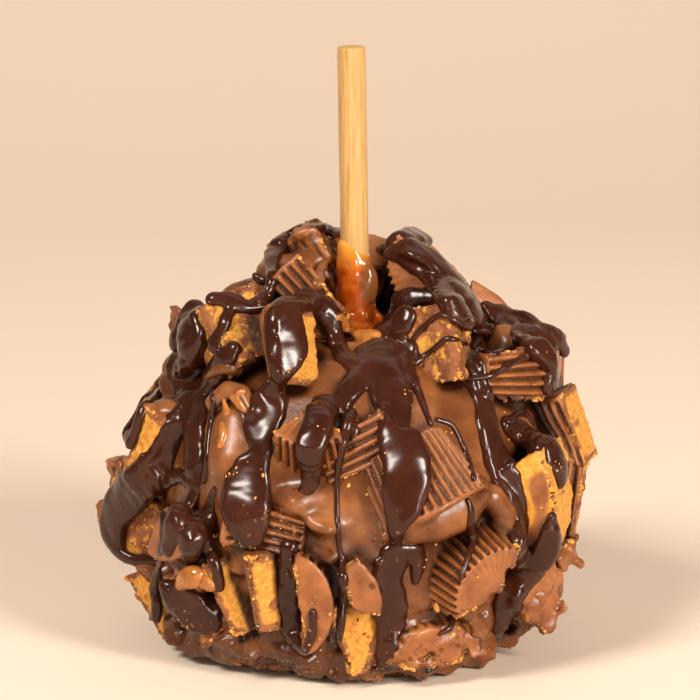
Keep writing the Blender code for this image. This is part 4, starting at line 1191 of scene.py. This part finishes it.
def gathered(grid, coat):
    """The coat with its lumps and rolls, and roughened round the foot."""
    swell = Waves(43, 8.0, 8)
    for lon, lat, out, radius in LUMPS:
        middle = globe(lon, lat, out)
        window = grid.window([c - radius - 5 for c in middle], [c + radius + 5 for c in middle])
        x, y, z = grid.axes(window)
        ball = np.sqrt((x - middle.x) ** 2 + (y - middle.y) ** 2 + (z - middle.z) ** 2) - 0.92 * radius
        ball = ball + 1.3 * swell(x, y, z) + 0.9 * (0.5 - crags(*np.broadcast_arrays(x, y, z), 44, 5.0))
        coat[window] = smooth_min(coat[window], ball, 4.0)
    level = [[(globe(lon, lat, out), width / 2) for lon, lat, width, out in route] for route in ROLLS]
    rolls = path_field(grid, level, float)
    coat = smooth_min(coat, rolls, 2.6)
    low = (np.abs(coat) < 4.0) & (grid.z < 30.0)
    x, y, z = (axis[low] for axis in np.broadcast_arrays(grid.x, grid.y, grid.z))
    share = np.clip((25.0 - z) / 10.0, 0, 1)
    bumps = 1.1 * (0.5 - crags(x, y, z, 41, 4.2)) + 0.9 * (0.5 - crags(x, y, z, 45, 2.2)) + 0.5 * Waves(42, 6.0)(x, y, z)
    coat[low] += share * bumps
    return coat


def make_all():
    grid = Grid((-61, -58, -1.5), (61, 58, 97), COARSE)
    apple = apple_field(grid)
    coat = apple.copy()
    surface = apple.copy()
    for piece in PIECES:
        low, high = piece_reach(piece)
        window = grid.window([c - 3 for c in low], [c + 3 for c in high])
        u, v, w = own_axes(piece, *grid.axes(window))
        whole, cut = cup_field(piece, u, v, w)
        body = smooth_max(whole, cut, 1.2)
        coat[window] = smooth_min(coat[window], body + 2.6, 2.0)
        surface[window] = smooth_min(surface[window], body, 1.0)
    coat = gathered(grid, coat)
    surface = np.minimum(surface, coat)
    coat = np.where(grid.z < 0.3, np.maximum(coat, 0.3 - grid.z), coat)
    coat_mesh, places = skin("coat", grid, coat, relax=1)
    # painted shade: below 15 mm and left of the middle the coat is darkened too, besides the painted shade in its
    # crevices
    low = np.clip((15.0 - places[:, 2]) / 9.0, 0, 1) * np.clip((14.0 - places[:, 0]) / 12.0, 0, 1)
    add_values(coat_mesh, "shut", np.maximum(painted_crevice_shade(grid, surface, places), 0.6 * low))
    milk, broken, dark = milk_material(), cup_material(), dark_material()
    amber, wood = caramel_material(), wood_material()
    show("coat", coat_mesh, milk, ["apple"])
    for piece in PIECES:
        behind = piece.name.split("_")[1].startswith("back") or "_back" in piece.name
        step = BACK if behind and piece.name != "crown_back_left" else FINE
        mesh = cup_mesh(piece, step, grid, apple, surface)
        show(piece.name + "_look", mesh, broken, [piece.name])
    nodes = frame["nodes"]
    ground = Ground([solid.data for name, solid in nodes.items() if "strand" not in name and name != "stick"])
    for name, flows, lay in (("dark_front", FRONT_FLOWS, front_path), ("dark_back", BACK_FLOWS, flow_path)):
        paths = [lay(route, ground) for routes in flows.values() for route in routes]
        show(name, flow_mesh(name, grid, surface, paths), dark, list(flows))
    show("caramel_look", caramel_mesh(), amber, ["caramel"])
    on_top = Ground([made.data for made in bpy.context.scene.objects if made.name.endswith("_look")
                     or made.name in ("coat", "dark_front")])
    for name, routes, finish, slot, thick in (("milk_smears", MILK_SMEARS, milk, "milk_chocolate", 1.1),
                                              ("amber_smears", AMBER_SMEARS, glaze_material(), "caramel", 0.4)):
        paths = [front_path(route, on_top, 1.2, 0.0, 3) for route in routes]
        show(name, flow_mesh(name, grid, surface, paths, thick), finish, [])
    bead = thread_mesh("caramel_bead", [front_path(BEAD, on_top, 0.8, 0.2, 3)])
    show("caramel_bead", bead, bpy.data.materials["amber_look"], [])
    solid = [made.data for made in bpy.context.scene.objects if made.name.endswith("_look") or made.name == "coat"]
    solid += [bpy.data.objects["dark_front"].data, bpy.data.objects["dark_back"].data]
    skin_ground = Ground(solid)
    threads = [front_path(route, skin_ground, 0.8, 0.25, 3) for route in FRONT_THREADS]
    threads += [flow_path(route, skin_ground, 1.0, 0.25, 3) for route in THREADS]
    show("dark_threads", thread_mesh("dark_threads", threads), dark, [])
    nut, bits = nut_material(), milk
    loose = strewn(skin_ground, 5, 500, 0.2, NUT_PLACES) + along_edges(skin_ground, 7, 4600, 0.22)
    show("nut_crumbs", crumb_mesh("nut_crumbs", 8, loose), nut, [])
    loose = strewn(skin_ground, 6, 900, 0.34, BIT_PLACES) + along_edges(skin_ground, 9, 3200, 0.32)
    show("chocolate_crumbs", crumb_mesh("chocolate_crumbs", 10, loose), bits, [])
    show("stick_look", stick_mesh(), wood, ["stick"])


def make_stage():
    """A warm seamless sweep from the floor up to the back."""
    profile = [(-2.2, 0.0), (0.6, 0.0)]
    for i in range(1, 13):
        angle = math.radians(90 * i / 12)
        profile.append((0.6 + 0.9 * math.sin(angle), 0.9 - 0.9 * math.cos(angle)))
    profile.append((1.5, 3.5))
    bm = bmesh.new()
    rows = [[bm.verts.new((x, y, z)) for x in (-3.0, 3.0)] for y, z in profile]
    for a, b in zip(rows, rows[1:]):
        bm.faces.new((a[0], a[1], b[1], b[0]))
    mesh = bpy.data.meshes.new("sweep")
    bm.to_mesh(mesh)
    bm.free()
    mesh.shade_smooth()
    made, tree, shader = shader_of("sweep_paper")
    shader.inputs["Base Color"].default_value = (0.80, 0.66, 0.53, 1.0)
    shader.inputs["Roughness"].default_value = 0.9
    mesh.materials.append(made)
    floor = bpy.data.objects.new("sweep", mesh)
    bpy.context.scene.collection.objects.link(floor)


def area_light(name, place, target, size, power, colour):
    lamp = bpy.data.lights.new(name, "AREA")
    lamp.shape = "RECTANGLE"
    lamp.size, lamp.size_y = size
    lamp.energy = power
    lamp.color = colour
    made = bpy.data.objects.new(name, lamp)
    bpy.context.scene.collection.objects.link(made)
    made.location = place
    made.rotation_euler = (Vector(target) - Vector(place)).to_track_quat("-Z", "Y").to_euler()
    return made


def make_lights():
    area_light("key", (-1.05, -1.22, 1.52), (0, 0, 0.05), (0.58, 0.58), 45.0, (1.0, 0.93, 0.85))
    area_light("side", (0.72, -0.85, 0.55), (0, 0, 0.07), (0.25, 0.5), 17.0, (1.0, 0.93, 0.84))
    area_light("front", (0.5, -1.2, 0.16), (0, 0, 0.05), (0.3, 0.25), 4.2, (1.0, 0.92, 0.85))
    area_light("back", (0.0, 0.45, 1.5), (0.0, 1.3, 0.5), (1.6, 0.6), 3.4, (1.0, 0.91, 0.89))
    world = bpy.data.worlds.new("room")
    world.use_nodes = True
    world.node_tree.nodes["Background"].inputs["Color"].default_value = (1.0, 0.88, 0.8, 1.0)
    world.node_tree.nodes["Background"].inputs["Strength"].default_value = 0.16
    bpy.context.scene.world = world


def make_camera():
    lens = bpy.data.cameras.new("camera")
    lens.lens = 167.8
    lens.sensor_width = 36.0
    lens.clip_start = 0.01
    camera = bpy.data.objects.new("camera", lens)
    bpy.context.scene.collection.objects.link(camera)
    camera.location = EYE * MM
    camera.rotation_euler = (AIM - EYE).to_track_quat("-Z", "Y").to_euler()
    bpy.context.scene.camera = camera


make_camera()
make_lights()
make_stage()
make_all()
bpy.context.scene.view_settings.view_transform = "Standard"
